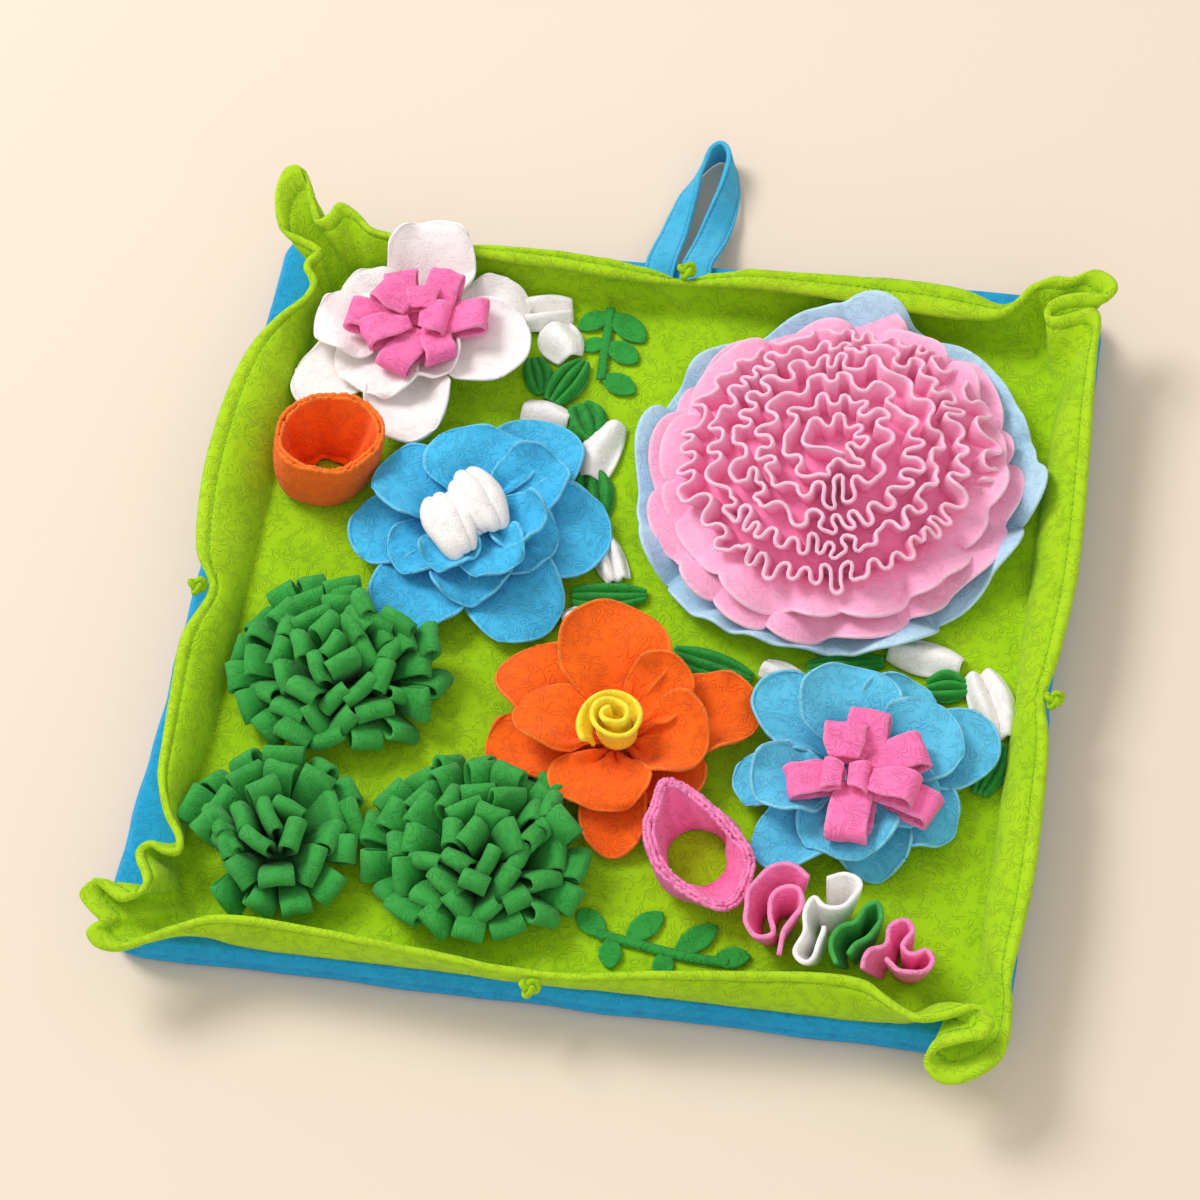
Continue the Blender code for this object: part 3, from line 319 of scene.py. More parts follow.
def shell(grid, thickness, closed=False, painted_light=0.5, crown=0.45):
    """A sheet of cloth laid on both sides of a grid of points, with rounded edges, that stand out
    by crown times half its thickness. The rows of a closed grid meet end to end."""
    rows, columns = grid.shape[:2]
    normal = unit(np.cross(slope(grid, 0, closed), slope(grid, 1, False)))
    thick = np.broadcast_to(np.asarray(thickness, float), (rows, columns))
    painted_light = np.broadcast_to(np.asarray(painted_light, float), (rows, columns))
    half = 0.5 * thick[..., None] * normal
    points = [(grid + half).reshape(-1, 3), (grid - half).reshape(-1, 3)]
    painted_lights = [painted_light.reshape(-1), painted_light.reshape(-1)]
    below, start = rows * columns, 2 * rows * columns

    def at(i, j):
        return (i % rows) * columns + j

    faces = []
    for i in range(rows if closed else rows - 1):
        for j in range(columns - 1):
            quad = (at(i, j), at(i + 1, j), at(i + 1, j + 1), at(i, j + 1))
            faces += [quad, tuple(below + k for k in reversed(quad))]
    if closed:
        loops = [[(i, j) for i in range(rows)] for j in (0, columns - 1)]
    else:
        loops = [[(0, j) for j in range(columns - 1)] + [(i, columns - 1) for i in range(rows - 1)]
                 + [(rows - 1, j) for j in range(columns - 1, 0, -1)]
                 + [(i, 0) for i in range(rows - 1, 0, -1)]]
    for loop in loops:
        rim = []
        for i, j in loop:
            inner_i = i if closed else min(max(i, 1), rows - 2)
            inner = grid[inner_i, min(max(j, 1), columns - 2)] if columns > 2 else grid[i, j]
            rim.append(grid[i, j] + unit(grid[i, j] - inner) * crown * thick[i, j] / 2)
        points.append(np.array(rim))
        painted_lights.append(np.array([painted_light[i, j] for i, j in loop]))
        count = len(loop)
        for k in range(count):
            m = (k + 1) % count
            a, b = at(*loop[k]), at(*loop[m])
            faces += [(a, b, start + m, start + k), (start + k, start + m, below + b, below + a)]
        start += count
    return np.concatenate(points), faces, np.concatenate(painted_lights)


def open_ring(part, rows, columns):
    """Close a ring-shaped sheet over its middle with one flat face on each side."""
    points, faces, painted_lights = part
    start = 2 * rows * columns
    faces = [face for face in faces if not any(start <= k < start + rows for k in face)]
    faces.append(tuple(i * columns for i in range(rows)))
    faces.append(tuple(rows * columns + i * columns for i in reversed(range(rows))))
    kept = np.r_[0:start, start + rows:len(points)]
    shift = np.full(len(points), -1)
    shift[kept] = np.arange(len(kept))
    return points[kept], [tuple(int(shift[k]) for k in face) for face in faces], painted_lights[kept]


def ring_faces(rings, around, closed=False, start=0):
    """Faces from each ring of points to the next."""
    faces = []
    for i in range(rings if closed else rings - 1):
        near, far = start + i * around, start + (i + 1) % rings * around
        for k in range(around):
            m = (k + 1) % around
            faces.append((near + k, near + m, far + m, far + k))
    return faces


def end_caps(rings, around):
    return [tuple(reversed(range(around))), tuple((rings - 1) * around + k for k in range(around))]


def tube_along(path, radius, around=8, closed=True):
    """A round cord along a path of points."""
    count = len(path)
    along = unit(slope(path, 0, closed))
    side = unit(np.cross(along, (0.2, 0.1, 1.0)))
    other = np.cross(along, side)
    radius = np.broadcast_to(radius, count)[:, None]
    points = np.stack([path + radius * (cos(turn) * side + sin(turn) * other)
                       for turn in circle(around)], axis=1)
    faces = ring_faces(count, around, closed) + ([] if closed else end_caps(count, around))
    return points.reshape(-1, 3), faces, np.full(count * around, 0.55)


def lump(centre, radii, seed=0, rough=0.05, around=24, up=12, painted_light=0.5, fullness=2.4):
    """A soft rounded lump, its sides fuller than an egg's where fullness is above 2."""
    power = 2.0 / fullness
    tilts, turns = np.meshgrid(np.linspace(-pi / 2, pi / 2, up + 1)[1:-1], circle(around),
                               indexing="ij")
    wide = np.cos(tilts) ** power
    high = np.sign(np.sin(tilts)) * abs(np.sin(tilts)) ** power
    body = np.stack([wide * np.cos(turns), wide * np.sin(turns), high], axis=-1).reshape(-1, 3)
    body = np.concatenate([[(0, 0, -1)], body, [(0, 0, 1)]])
    body = body * (1 + rough * wobble(body * np.array(radii), min(radii) * 1.6, seed)[:, None])
    last = len(body) - 1
    faces = [(0, 1 + (i + 1) % around, 1 + i) for i in range(around)]
    faces += ring_faces(up - 1, around, start=1)
    faces += [(last, last - around + i, last - around + (i + 1) % around) for i in range(around)]
    return body * np.array(radii) + np.array(centre, float), faces, np.full(len(body), painted_light)


def hub(x, y, bottom, top, radius, seed, rough, painted_light):
    """The small padded middle that petals or loops are sewn to."""
    return lump((x, y, (bottom + top) / 2), (radius, radius, (top - bottom) / 2), seed, rough,
                painted_light=painted_light)


def laid(x, y, heading, along, across, height, thick, painted_light):
    """A thin piece that lies on the floor, given along and across its heading."""
    grid = np.stack([*turned(x, y, heading, along, across), height], axis=-1)
    points, faces, painted_lights = shell(grid, thick, painted_light=painted_light)
    points[:, 2] = np.maximum(points[:, 2], SEAT)
    return points, faces, painted_lights


def joined(name, pieces):
    """Several objects of one finish as one mesh."""
    bm = bmesh.new()
    for piece in pieces:
        bm.from_mesh(piece.data)
    mesh = bpy.data.meshes.new(name)
    bm.to_mesh(mesh)
    bm.free()
    mesh.materials.append(pieces[0].data.materials[0])
    for piece in pieces:
        bpy.data.objects.remove(piece, do_unlink=True)
    mesh.shade_smooth()
    return put(name, mesh)


def stand_in(piece, node):
    """Put a finished piece in the frame in place of its solid."""
    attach(piece, "root")
    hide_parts(node)


def cloth(piece, node, width, extra=()):
    """Put a piece of cloth and its trims in the frame. The given width of its strip goes into a length
    that is worked out and not used.
    """
    bm = bmesh.new()
    bm.from_mesh(piece.data)
    area = sum(face.calc_area() for face in bm.faces) / 2
    bm.free()
    width = max(width * MM, LEAST_CUT)
    stand_in(piece, node)
    max(area / width, LEAST_CUT)
    for trim in extra:
        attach(trim, "root")


# ---- Geometry Nodes trees --------------------------------------------------------------------------
def make_tree(name, inputs, output, nodes, links):
    """A tree of its named inputs, its nodes with their settings and set sockets, and its links."""
    tree = bpy.data.node_groups.new(name, "GeometryNodeTree")
    for label, kind, value in inputs:
        socket = tree.interface.new_socket(label, in_out="INPUT", socket_type=f"NodeSocket{kind}")
        if value is not None:
            socket.default_value = value
    tree.interface.new_socket(output, in_out="OUTPUT", socket_type="NodeSocketGeometry")
    nodes = {**nodes, "start": ("NodeGroupInput", {}, {}), "end": ("NodeGroupOutput", {}, {}),
             "real": ("GeometryNodeRealizeInstances", {}, {}),
             "coat": ("GeometryNodeSetMaterial", {}, {})}
    made = {}
    for label, (kind, settings, values) in nodes.items():
        made[label] = tree.nodes.new(kind)
        for key, value in settings.items():
            setattr(made[label], key, value)
        for key, value in values.items():
            made[label].inputs[key].default_value = value
    for source, out, target, into in links + (
            ("plant", "Instances", "real", "Geometry"), ("real", "Geometry", "coat", "Geometry"),
            ("start", "Finish", "coat", "Material"), ("coat", "Geometry", "end", output)):
        tree.links.new(made[source].outputs[out], made[target].inputs[into])
    return tree


def run_tree(name, source, tree, values):
    """Set the tree's inputs by identifier, read its result as a plain mesh, and keep that alone."""
    modifier = source.modifiers.new("tree", "NODES")
    modifier.node_group = tree
    for item in tree.interface.items_tree:
        if item.in_out == "INPUT" and item.name in values:
            modifier[item.identifier] = values[item.name]
    bpy.context.view_layer.update()
    evaluated = source.evaluated_get(bpy.context.evaluated_depsgraph_get())
    mesh = bpy.data.meshes.new_from_object(evaluated)
    mesh.name = name
    bpy.data.objects.remove(source, do_unlink=True)
    mesh.shade_smooth()
    return put(name, mesh)


# stitches of a given length, spacing and thickness along a line
STITCHES = make_tree("stitch_line", (
    ("Path", "Geometry", None), ("Spacing", "Float", 0.0035), ("Length", "Float", 0.0024),
    ("Thread", "Float", 0.00035), ("Finish", "Material", None)), "Stitches", {
    "spread": ("GeometryNodeCurveToPoints", {"mode": "LENGTH"}, {}),
    "one": ("GeometryNodeMeshIcoSphere", {}, {"Subdivisions": 1, "Radius": 1.0}),
    "plant": ("GeometryNodeInstanceOnPoints", {}, {}),
    "shape": ("ShaderNodeCombineXYZ", {}, {}),
    "half": ("ShaderNodeMath", {"operation": "MULTIPLY"}, {1: 0.5}),
}, (
    ("start", "Path", "spread", "Curve"), ("start", "Spacing", "spread", "Length"),
    ("start", "Length", "half", 0), ("start", "Thread", "shape", 0), ("start", "Thread", "shape", 1),
    ("half", 0, "shape", 2), ("spread", "Points", "plant", "Points"),
    ("spread", "Rotation", "plant", "Rotation"), ("one", "Mesh", "plant", "Instance"),
    ("shape", 0, "plant", "Scale")))


def sew(name, lines, finish, spacing, length, thick, closed=False):
    """Stitches along lines of points."""
    curve = bpy.data.curves.new("path", "CURVE")
    curve.dimensions = "3D"
    for line in lines:
        spline = curve.splines.new("POLY")
        spline.points.add(len(line) - 1)
        flat = np.column_stack([np.asarray(line, float) * MM, np.ones(len(line))])
        spline.points.foreach_set("co", flat.reshape(-1))
        spline.use_cyclic_u = closed
    return run_tree(name, put("path", curve), STITCHES, {
        "Spacing": spacing * MM, "Length": length * MM, "Thread": thick * MM,
        "Finish": FINISH[finish]})


# ---- the padded base -----------------------------------------------------------------------------
PAD_HALF, PAD_CORNER = 240.0, 22.0
PAD_ARC, PAD_RUN = 8, 60      # points on each corner and on each side of an outline
PAD_SEAM = 10.0               # height of its side seam
# from the underside to the upper face: inset, height
PAD_PROFILE = ((60, 0.1), (9, 0.2), (2.5, 3.0), (0.6, 7.0), (1.6, 10.0), (0.8, 13.0), (3.5, 17.6),
               (11, 19.8), (60, 20.0))


def rounded_square(half, corner):
    points = []
    for quarter in range(4):
        x = (half - corner) * (1 if quarter in (0, 3) else -1)
        y = (half - corner) * (1 if quarter in (0, 1) else -1)
        for k in range(PAD_ARC):
            angle = (quarter + k / PAD_ARC) * pi / 2
            points.append((x + corner * cos(angle), y + corner * sin(angle)))
        end = (quarter + 1) * pi / 2
        for k in range(PAD_RUN):
            run = 2 * (half - corner) * k / PAD_RUN
            points.append((x + corner * cos(end) - run * sin(end),
                           y + corner * sin(end) + run * cos(end)))
    return np.array(points)


def build_pad():
    """A cushion with full sides, drawn in a little at its side seam and puckered along it."""
    loops, painted_lights = [], []
    for inset, height in smooth_rows(PAD_PROFILE, 4):
        outline = rounded_square(PAD_HALF - inset, max(PAD_CORNER - 0.4 * inset, 4))
        count = len(outline)
        spot = np.column_stack([outline, np.full(count, height)])
        inward = -unit(outline)
        seam = np.exp(-((height - PAD_SEAM) / 3.0) ** 2)
        pucker = 0.5 * (1 + np.sin(np.arange(count) * 2.4 + 2 * wobble(spot, 90, 3)))
        side = np.exp(-(inset / 14.0) ** 2)
        depth = side * (0.9 * (1 + wobble(spot, 55, 5)) + seam * pucker * 1.1)
        spot[:, :2] += inward * depth[:, None]
        loops.append(spot)
        # painted shade in the puckers along the side seam
        painted_lights.append(0.5 - 0.3 * seam * pucker)
    faces = ring_faces(len(loops), count) + end_caps(len(loops), count)
    pad = make_mesh("padded_base", (np.concatenate(loops), faces, np.concatenate(painted_lights)), "pad_blue")
    stand_in(pad, "base_pad")


# ---- the top sheet -------------------------------------------------------------------------------
# lines up the rim, round the mat: foot_x, foot_y, top_x, top_y, top_z, bulge_out, bulge_up
RIM = (
    # left side
    (-205, -98, -225, -98, 45, -4, 5), (-205, -60, -227, -62, 45, -4, 5),
    (-207, -28, -221, -28, 39, -3, 2), (-207, -5, -233, -4, 43, -4, 5),
    (-208, 45, -240, 48, 45, -4, 7), (-208, 95, -239, 96, 45, -4, 7),
    (-208, 125, -233, 130, 45, -3, 6),
    # back left corner
    (-207, 148, -222, 152, 46, -1, 3), (-206, 163, -209, 168, 47, 1, 1),
    (-204, 172, -206, 180, 48, 1, 1), (-203, 179, -213, 190, 49, 1, 0),
    (-202, 185, -208, 199, 51, 0, 0), (-201, 190, -218, 205, 52, 2, 0),
    (-200, 193, -231, 209, 56, 4, -2), (-199, 196, -237, 226, 62, 5, -4),
    (-197, 198, -234, 242, 66, 6, -4), (-195, 200, -225, 244, 66, 6, -4),
    (-193, 201, -219, 232, 60, 5, -2), (-191, 202, -212, 218, 54, 3, 0),
    (-189, 203, -206, 222, 53, 2, 0), (-187, 203, -202, 231, 53, 3, 0),
    (-184, 204, -194, 229, 51, 4, 1), (-178, 204, -182, 219, 49, 3, 3),
    (-165, 204, -168, 216, 48, 3, 5),
    # back side
    (-138, 204, -140, 211, 48, 10, 12), (-105, 203, -105, 207, 47, 17, 20),
    (-69, 203, -69, 206, 46, 18, 22), (-33, 203, -34, 203, 45, 16, 20), (4, 203, 4, 205, 41, 8, 12),
    (40, 203, 40, 204, 46, 18, 22), (87, 203, 87, 202, 46, 22, 24),
    (126, 203, 128, 198, 46, 28, 26), (150, 203, 152, 196, 46, 28, 26),
    # back right corner
    (166, 203, 171, 196, 46, 22, 20), (177, 203, 184, 199, 46, 14, 12),
    (185, 202.5, 193, 208, 48, 8, 5), (190, 202, 200, 219, 50, 5, 2),
    (195, 201, 210, 224, 52, 4, 0), (199, 199, 220, 224, 53, 5, -1),
    (202, 197, 232, 229, 55, 6, -3), (205, 195, 241, 226, 55, 7, -4),
    (207, 192.5, 246, 219, 55, 8, -4), (209, 190, 241, 213.5, 54, 7, -3),
    (210.5, 187.5, 229, 214, 53, 4, -2), (212, 185, 217, 212, 51, 2, 0),
    (213.5, 182, 209.5, 206, 50, 1, 0), (215, 179, 211, 199, 49, 1, 0),
    (216, 176, 217, 199, 49, 2, 0), (217, 173, 225, 203, 49, 3, 0), (218, 169, 234, 206, 50, 4, 0),
    (219, 164, 239, 200, 49, 4, 0), (220, 157, 239, 184, 46, 1, 2),
    # right side
    (220, 138, 240, 150, 43, -3, 5), (220, 85, 243, 88, 41, -4, 7), (220, 34, 244, 34, 40, -4, 7),
    (220, -15, 240, -16, 40, -4, 5), (221, -42, 236, -42, 37, -2, 2),
    (221, -72, 241, -72, 40, -4, 5), (221, -130, 243, -132, 41, -4, 7),
    # front right corner
    (221, -157, 242, -168, 42, -3, 6), (221, -170, 240, -196, 43, -2, 4),
    (221, -180, 239, -214, 43, 0, 2), (220.5, -188, 241, -229, 42, 3, 0),
    (220, -195, 242, -243, 41, 5, -2), (219.5, -200, 239, -255, 40, 8, -4),
    (219, -205, 231, -264, 40, 9, -5), (218, -210, 221, -270, 40, 8, -5),
    (216.5, -214.5, 211, -271, 41, 6, -4), (214, -219, 204, -265, 44, 4, -2),
    (210.5, -222.5, 208, -257, 48, 0, 1), (206, -225.5, 220, -252, 50, -1, 3),
    (202, -227, 231, -249, 52, 0, 4), (198, -228.5, 234, -242, 55, -1, 6),
    (194.5, -229.5, 226, -236, 55, -2, 6), (191, -230.5, 213, -240, 52, -1, 4),
    (186, -231.5, 199, -243, 50, 0, 2), (180, -232, 189, -239, 49, 2, 1),
    (171, -232.5, 177, -231, 48, 4, 1), (160, -233, 166, -225, 48, 6, 2),
    # front side
    (140, -233, 146, -224, 48, 6, 2), (110, -233, 112, -227, 47, 6, 1),
    (75, -233, 75, -231, 46, 5, 1), (36, -233, 36, -236, 44, 4, 1), (-3, -234, -3, -238, 38, 2, 0),
    (-42, -233, -42, -237, 44, 3, 1), (-80, -233, -80, -234, 46, 3, 1),
    (-115, -233, -116, -231, 46, 3, 1),
    # front left corner
    (-148, -233, -150, -229, 46, 4, 1), (-164, -232, -172, -231, 46, 4, 1),
    (-173, -230, -191, -239, 46, 4, 0), (-179, -227.5, -205, -248, 46, 4, 0),
    (-183, -225, -217, -255, 46, 5, -1), (-186, -222.5, -228, -255, 47, 6, -1),
    (-188.5, -220, -234, -248, 49, 6, -1), (-190.5, -218, -228, -242.5, 50, 3, 0),
    (-192.5, -215.5, -235, -237, 52, 4, 0), (-194.5, -213, -241, -230, 54, 5, -1),
    (-196, -210.5, -236, -223, 55, 4, -1), (-197.5, -208, -228, -227, 54, 2, 2),
    (-199, -205.5, -220, -231, 54, 1, 3), (-200.5, -202.5, -212, -227, 54, 1, 3),
    (-202, -199, -210, -219, 53, 0, 2), (-203, -195.5, -213, -212, 52, 0, 1),
    (-204, -192, -217, -206, 51, 1, 0), (-204.5, -188, -219, -199, 50, 2, 0),
    (-205, -184, -214, -194, 49, 1, 0), (-205, -180, -206, -197, 49, 0, 0),
    (-205.5, -176, -199, -196, 48, -1, 0), (-206, -171, -200, -187, 48, -1, 0),
    (-206, -163, -210, -173, 47, 0, 1), (-206, -150, -219, -153, 46, -1, 3),
    (-206, -128, -222, -130, 45, -3, 5),
)
RIM_STEPS = 5                 # rows from each line of the table to the next
# where the rim reaches further out than this, it rises before it leans; the widest reach counts
# for so many lines of the table to each side
FOLD_REACH, FOLD_LINES = 30.0, 5
# up the rim: share of the way from foot to top, and thickness there; the dip is the hem's seam
RIM_LEVELS = ((0.0, 2.0), (0.07, 2.4), (0.15, 2.9), (0.25, 3.2), (0.36, 3.2), (0.48, 3.2),
              (0.6, 3.2), (0.7, 3.2), (0.77, 3.0), (0.81, 2.4), (0.835, 1.5), (0.86, 2.6), (0.9, 3.9),
              (0.95, 4.2), (1.0, 3.7))
HEM_SEAM = 10                 # which of the levels is the seam
FLOOR_RINGS = (0.03, 0.15, 0.3, 0.45, 0.6, 0.72, 0.82, 0.89, 0.93, 0.96, 0.982)
FLOOR_THICK = 1.6
KNOTS = {"left": (-228.5, -28, 41), "back": (4, 211.2, 46), "right": (241.5, -42, 39),
         "front": (-3, -245, 37)}
KNOT_REACH, KNOT_PLEAT = 26.0, 9.0     # how far round a knot the rim is drawn in; width of a pleat
KNOT_SIZE, KNOT_CORD = 1.45, 1.75      # scale of a knot's path, radius of its cord


def rim_surface():
    """Middle of the top sheet from the floor's middle to the hem, and the foot of its rim."""
    rows = smooth_rows(RIM, RIM_STEPS, closed=True)
    foot = np.column_stack([rows[:, :2], np.full(len(rows), FLOOR_TOP - 1.0)])
    top = rows[:, 2:5]
    bulge = np.column_stack([sideways(rows[:, :2], True) * rows[:, 5:6], rows[:, 6]])
    reach = np.linalg.norm(top[:, :2] - foot[:, :2], axis=1)
    near = range(-FOLD_LINES * RIM_STEPS, FOLD_LINES * RIM_STEPS + 1)
    widest = np.max([np.roll(reach, k) for k in near], axis=0)
    for _ in range(3):
        widest = (np.roll(widest, 3) + widest + np.roll(widest, -3)) / 3
    share = 0.5 * np.minimum(1.0, FOLD_REACH / widest)[:, None]
    middle = (foot + top) / 2 + bulge
    middle[:, :2] = foot[:, :2] + share * (top - foot)[:, :2] + bulge[:, :2]
    middle[:, 2] += 4.0
    columns = [foot * np.array([ring, ring, 1.0]) for ring in FLOOR_RINGS]
    for t, _ in RIM_LEVELS:
        columns.append((1 - t) ** 2 * foot + 2 * t * (1 - t) * middle + t * t * top)
    return np.stack(columns, axis=1), foot


def build_top_sheet():
    """Floor, doubled rim, hem and gathered corners in one cloth, with soft waves and drawn-in
    pleats at the four knots."""
    grid, foot = rim_surface()
    floor = len(FLOOR_RINGS)
    seam = floor + HEM_SEAM
    rows, columns = grid.shape[:2]
    ring = np.array(FLOOR_RINGS + (1.0,) * (columns - floor))
    level = np.array([0.0] * floor + [share for share, _ in RIM_LEVELS])
    thick = [FLOOR_THICK] * floor + [width for _, width in RIM_LEVELS]
    normal = unit(np.cross(slope(grid, 0, True), slope(grid, 1, False)))
    normal[:, :floor] = (0, 0, 1)
    wave = 0.55 * wobble(grid, 60, 11) + 0.45 * wobble(grid, 26, 12)
    run = run_along(foot)
    puckers = np.sin(run / 3.4 + 2.2 * np.sin(run / 23))[:, None]
    drop = np.clip(0.5 - 0.5 * wave - 0.35 * puckers * np.clip((ring - 0.86) / 0.12, 0, 1), 0, 1)
    rise = np.clip(level / 0.25, 0, 1)
    grid[..., 2] -= 0.6 * drop * (1 - rise) * np.where(level > 0, 1 - rise, 1)
    grid += normal * (rise * (0.9 * wave + 0.35 * puckers * (1 - level)))[..., None]
    for x, y, _ in KNOTS.values():
        gap = np.hypot(grid[..., 0] - x, grid[..., 1] - y)
        beside = (grid[..., 1] - y) if abs(x) > abs(y) else (grid[..., 0] - x)
        pull = np.exp(-(gap / KNOT_REACH) ** 2) * np.clip(level / 0.3, 0, 1)
        pull = pull * np.clip((1 - level) / 0.1, 0.25, 1)
        grid += normal * (1.5 * pull * np.cos(beside * 2 * pi / KNOT_PLEAT))[..., None]
    # painted light: lighter on the waves' bulges and up the rim, painted shade in the dips of the
    # floor
    painted_light = 0.5 + 0.12 * wave - 0.22 * drop * (1 - rise) + 0.12 * rise
    # painted highlight on the hem's upper band
    painted_light[:, level > 0.88] += 0.2
    # painted shade in the hem's seam
    painted_light[:, seam] -= 0.5
    part = open_ring(shell(grid, thick, True, np.clip(painted_light, 0, 1), 0.8), rows, columns)
    sheet = make_mesh("top_sheet_cloth", part, "lime")
    lines = [grid[:, seam] + side * normal[:, seam] for side in (1, -1)]
    thread = sew("hem_stitches", lines, "lime_thread", 4.6, 3.0, 0.38, closed=True)
    cloth(sheet, "top_sheet", 540, extra=[thread])


def build_knots():
    """At the middle of each side the rim is tied with a short strip: a small overhand knot."""
    turn = circle(72)
    path = KNOT_SIZE * np.column_stack([np.sin(turn) + 2 * np.sin(2 * turn),
                                        np.cos(turn) - 2 * np.cos(2 * turn), -1.5 * np.sin(3 * turn)])
    for side, spot in KNOTS.items():
        points, faces, painted_lights = tube_along(path + np.array(spot), KNOT_CORD)
        points += 0.25 * wobble(points, 5, 4)[:, None]
        knot = make_mesh(f"knot_{side}_tie", (points, faces, painted_lights), "lime")
        stand_in(knot, f"knot_{side}")


# ---- the hanging loop ----------------------------------------------------------------------------
# columns: x, y, z, width_turn
STRAP = (
    (-16.5, 214, 21.8, 0), (-16.0, 234, 21.8, 0), (-15.5, 247, 17, 5), (-14.5, 262, 11.5, 16),
    (-12.0, 285, 10, 38), (-8.0, 306, 10, 62), (-3.0, 321, 10.2, 80), (3.5, 327, 10.4, 90),
    (10.0, 321, 10.2, 100), (12.5, 306, 10, 118), (11.5, 285, 10, 142), (8.5, 262, 11.5, 164),
    (6.5, 247, 17, 175), (5.0, 234, 21.8, 180), (5.0, 214, 21.8, 180),
)
STRAP_WIDTH = 17.0
STRAP_FREE = 244.0            # from here on it hangs clear of the pad
# across half of the band: share of the half width, thickness; the dip is its stitched seam
STRAP_SECTION = ((1.0, 2.4), (0.94, 3.0), (0.88, 2.9), (0.82, 2.2), (0.78, 1.8), (0.74, 2.3),
                 (0.64, 2.7), (0.4, 2.7), (0.15, 2.6))
STRAP_SEAM = 4                # which place across is the seam


def build_strap():
    """A folded band stitched along both edges."""
    rows = smooth_rows(STRAP, 7)
    centre, turn = rows[:, :3], np.radians(rows[:, 3])
    along = unit(slope(centre, 0, False))
    across = np.column_stack([np.cos(turn), np.zeros(len(rows)), np.sin(turn)])
    across = unit(across - (across * along).sum(axis=1, keepdims=True) * along)
    section = np.array([(-share, t) for share, t in STRAP_SECTION] + list(STRAP_SECTION[::-1]))
    place = section[:, 0] * STRAP_WIDTH / 2
    grid = centre[:, None] + across[:, None] * place[None, :, None]
    normal = unit(np.cross(slope(grid, 0, False), slope(grid, 1, False)))
    free = np.clip((rows[:, 1] - STRAP_FREE) / 20, 0, 1)[:, None, None]
    grid += normal * 0.45 * wobble(grid, 24, 21)[..., None] * free
    painted_light = 0.55 + 0.1 * wobble(grid, 20, 22)
    lines = []
    for seam in (STRAP_SEAM, -1 - STRAP_SEAM):
        # painted shade along each stitched seam
        painted_light[:, seam] -= 0.4
        lines += [grid[:, seam] + side * 1.05 * normal[:, seam] for side in (-1, 1)]
    part = shell(grid, section[:, 1], painted_light=np.clip(painted_light, 0, 1))
    strap = make_mesh("hang_strap_band", part, "strap_blue")
    thread = sew("strap_stitches", lines, "blue_thread", 4.0, 2.8, 0.36)
    cloth(strap, "hang_strap", 34, extra=[thread])


# ---- petals --------------------------------------------------------------------------------------
# petals, by columns: turn, length, width, rise, droop, roll, cup
FLOWERS = {
    # name: (centre x, y, hub bottom z, hub top z, hub radius, root z, colour, petals)
    "white_petals_outer": (-142, 158, SEAT, 27.6, 12.0, 25.0, "white", (
        (143, 50, 46, 32, 2, 5, 3), (31, 58, 38, 30, -8, 5, 3), (-86, 70, 48, 33, -14, 4, 4),
        (-143, 72, 44, 26, -20, 4, 3),
    )),
    "white_petals_inner": (-142, 158, 27.9, 32.4, 9.5, 30.2, "white", (
        (88, 64, 50, 33, 30, 5, 5), (-13, 64, 54, 38, -12, 6, 4), (-60, 38, 34, 44, 10, 7, 4),
        (-122, 50, 54, 40, -8, 7, 5), (-172, 56, 48, 42, -2, 7, 4),
    )),
    "blue_petals_outer": (-86, 33, SEAT, 27.6, 12.0, 25.0, "blue", (
        (116, 62, 48, 24, -22, 5, 3), (62, 74, 54, 26, -16, 5, 3), (2, 68, 60, 27, -20, 5, 3),
        (-54, 72, 54, 26, -20, 5, 3), (-116, 68, 56, 26, -18, 5, 3), (-172, 62, 50, 26, -16, 5, 3),
    )),
    "blue_petals_middle": (-86, 33, 27.9, 32.4, 9.5, 30.2, "blue", (
        (154, 60, 48, 40, -6, 7, 4), (94, 54, 62, 42, 0, 7, 5), (42, 56, 42, 38, -6, 7, 4),
        (-20, 46, 42, 34, -8, 7, 3), (-80, 50, 46, 36, -6, 7, 4), (-140, 46, 38, 34, -6, 7, 3),
    )),
    "blue_petals_fold": (-86, 33, 32.7, 49.7, 7.0, 42.0, "blue", (
        (-12, 42, 34, 24, 18, 6, 5), (-58, 46, 38, 22, 14, 6, 5), (-104, 40, 34, 22, 18, 6, 5),
    )),
    "orange_petals_outer": (15, -92, SEAT, 27.6, 12.0, 25.0, "orange", (
        (148, 72, 46, 30, -10, 5, 4), (-168, 62, 44, 28, -16, 5, 4), (-82, 60, 36, 26, -22, 5, 4),
        (-30, 48, 40, 30, -10, 5, 4), (22, 72, 46, 30, -10, 5, 4),
    )),
    "orange_petals_inner": (15, -92, 27.9, 44.2, 7.5, 30.6, "orange", (
        (98, 74, 60, 42, -4, 6, 4), (50, 52, 36, 46, 6, 7, 4), (-4, 50, 48, 42, 0, 7, 5),
        (-96, 46, 56, 40, -8, 7, 4), (174, 54, 42, 42, -4, 7, 4),
    )),
    "sky_petals_outer": (146, -98, SEAT, 27.6, 12.5, 25.0, "sky", (
        (140, 68, 42, 30, -6, 5, 4), (70, 58, 40, 30, -10, 5, 4), (24, 68, 46, 28, -14, 5, 4),
        (-28, 50, 44, 28, -16, 5, 3), (-72, 50, 42, 28, -20, 5, 3), (-126, 64, 42, 28, -18, 5, 4),
        (-170, 58, 40, 29, -12, 5, 4),
    )),
    "sky_petals_inner": (146, -98, 27.9, 32.4, 9.5, 30.2, "sky", (
        (104, 58, 54, 40, -2, 7, 4), (32, 54, 50, 38, -2, 7, 4), (-26, 42, 36, 36, -4, 7, 4),
        (-92, 50, 54, 36, -8, 7, 4), (-158, 54, 46, 38, 0, 7, 4),
    )),
}
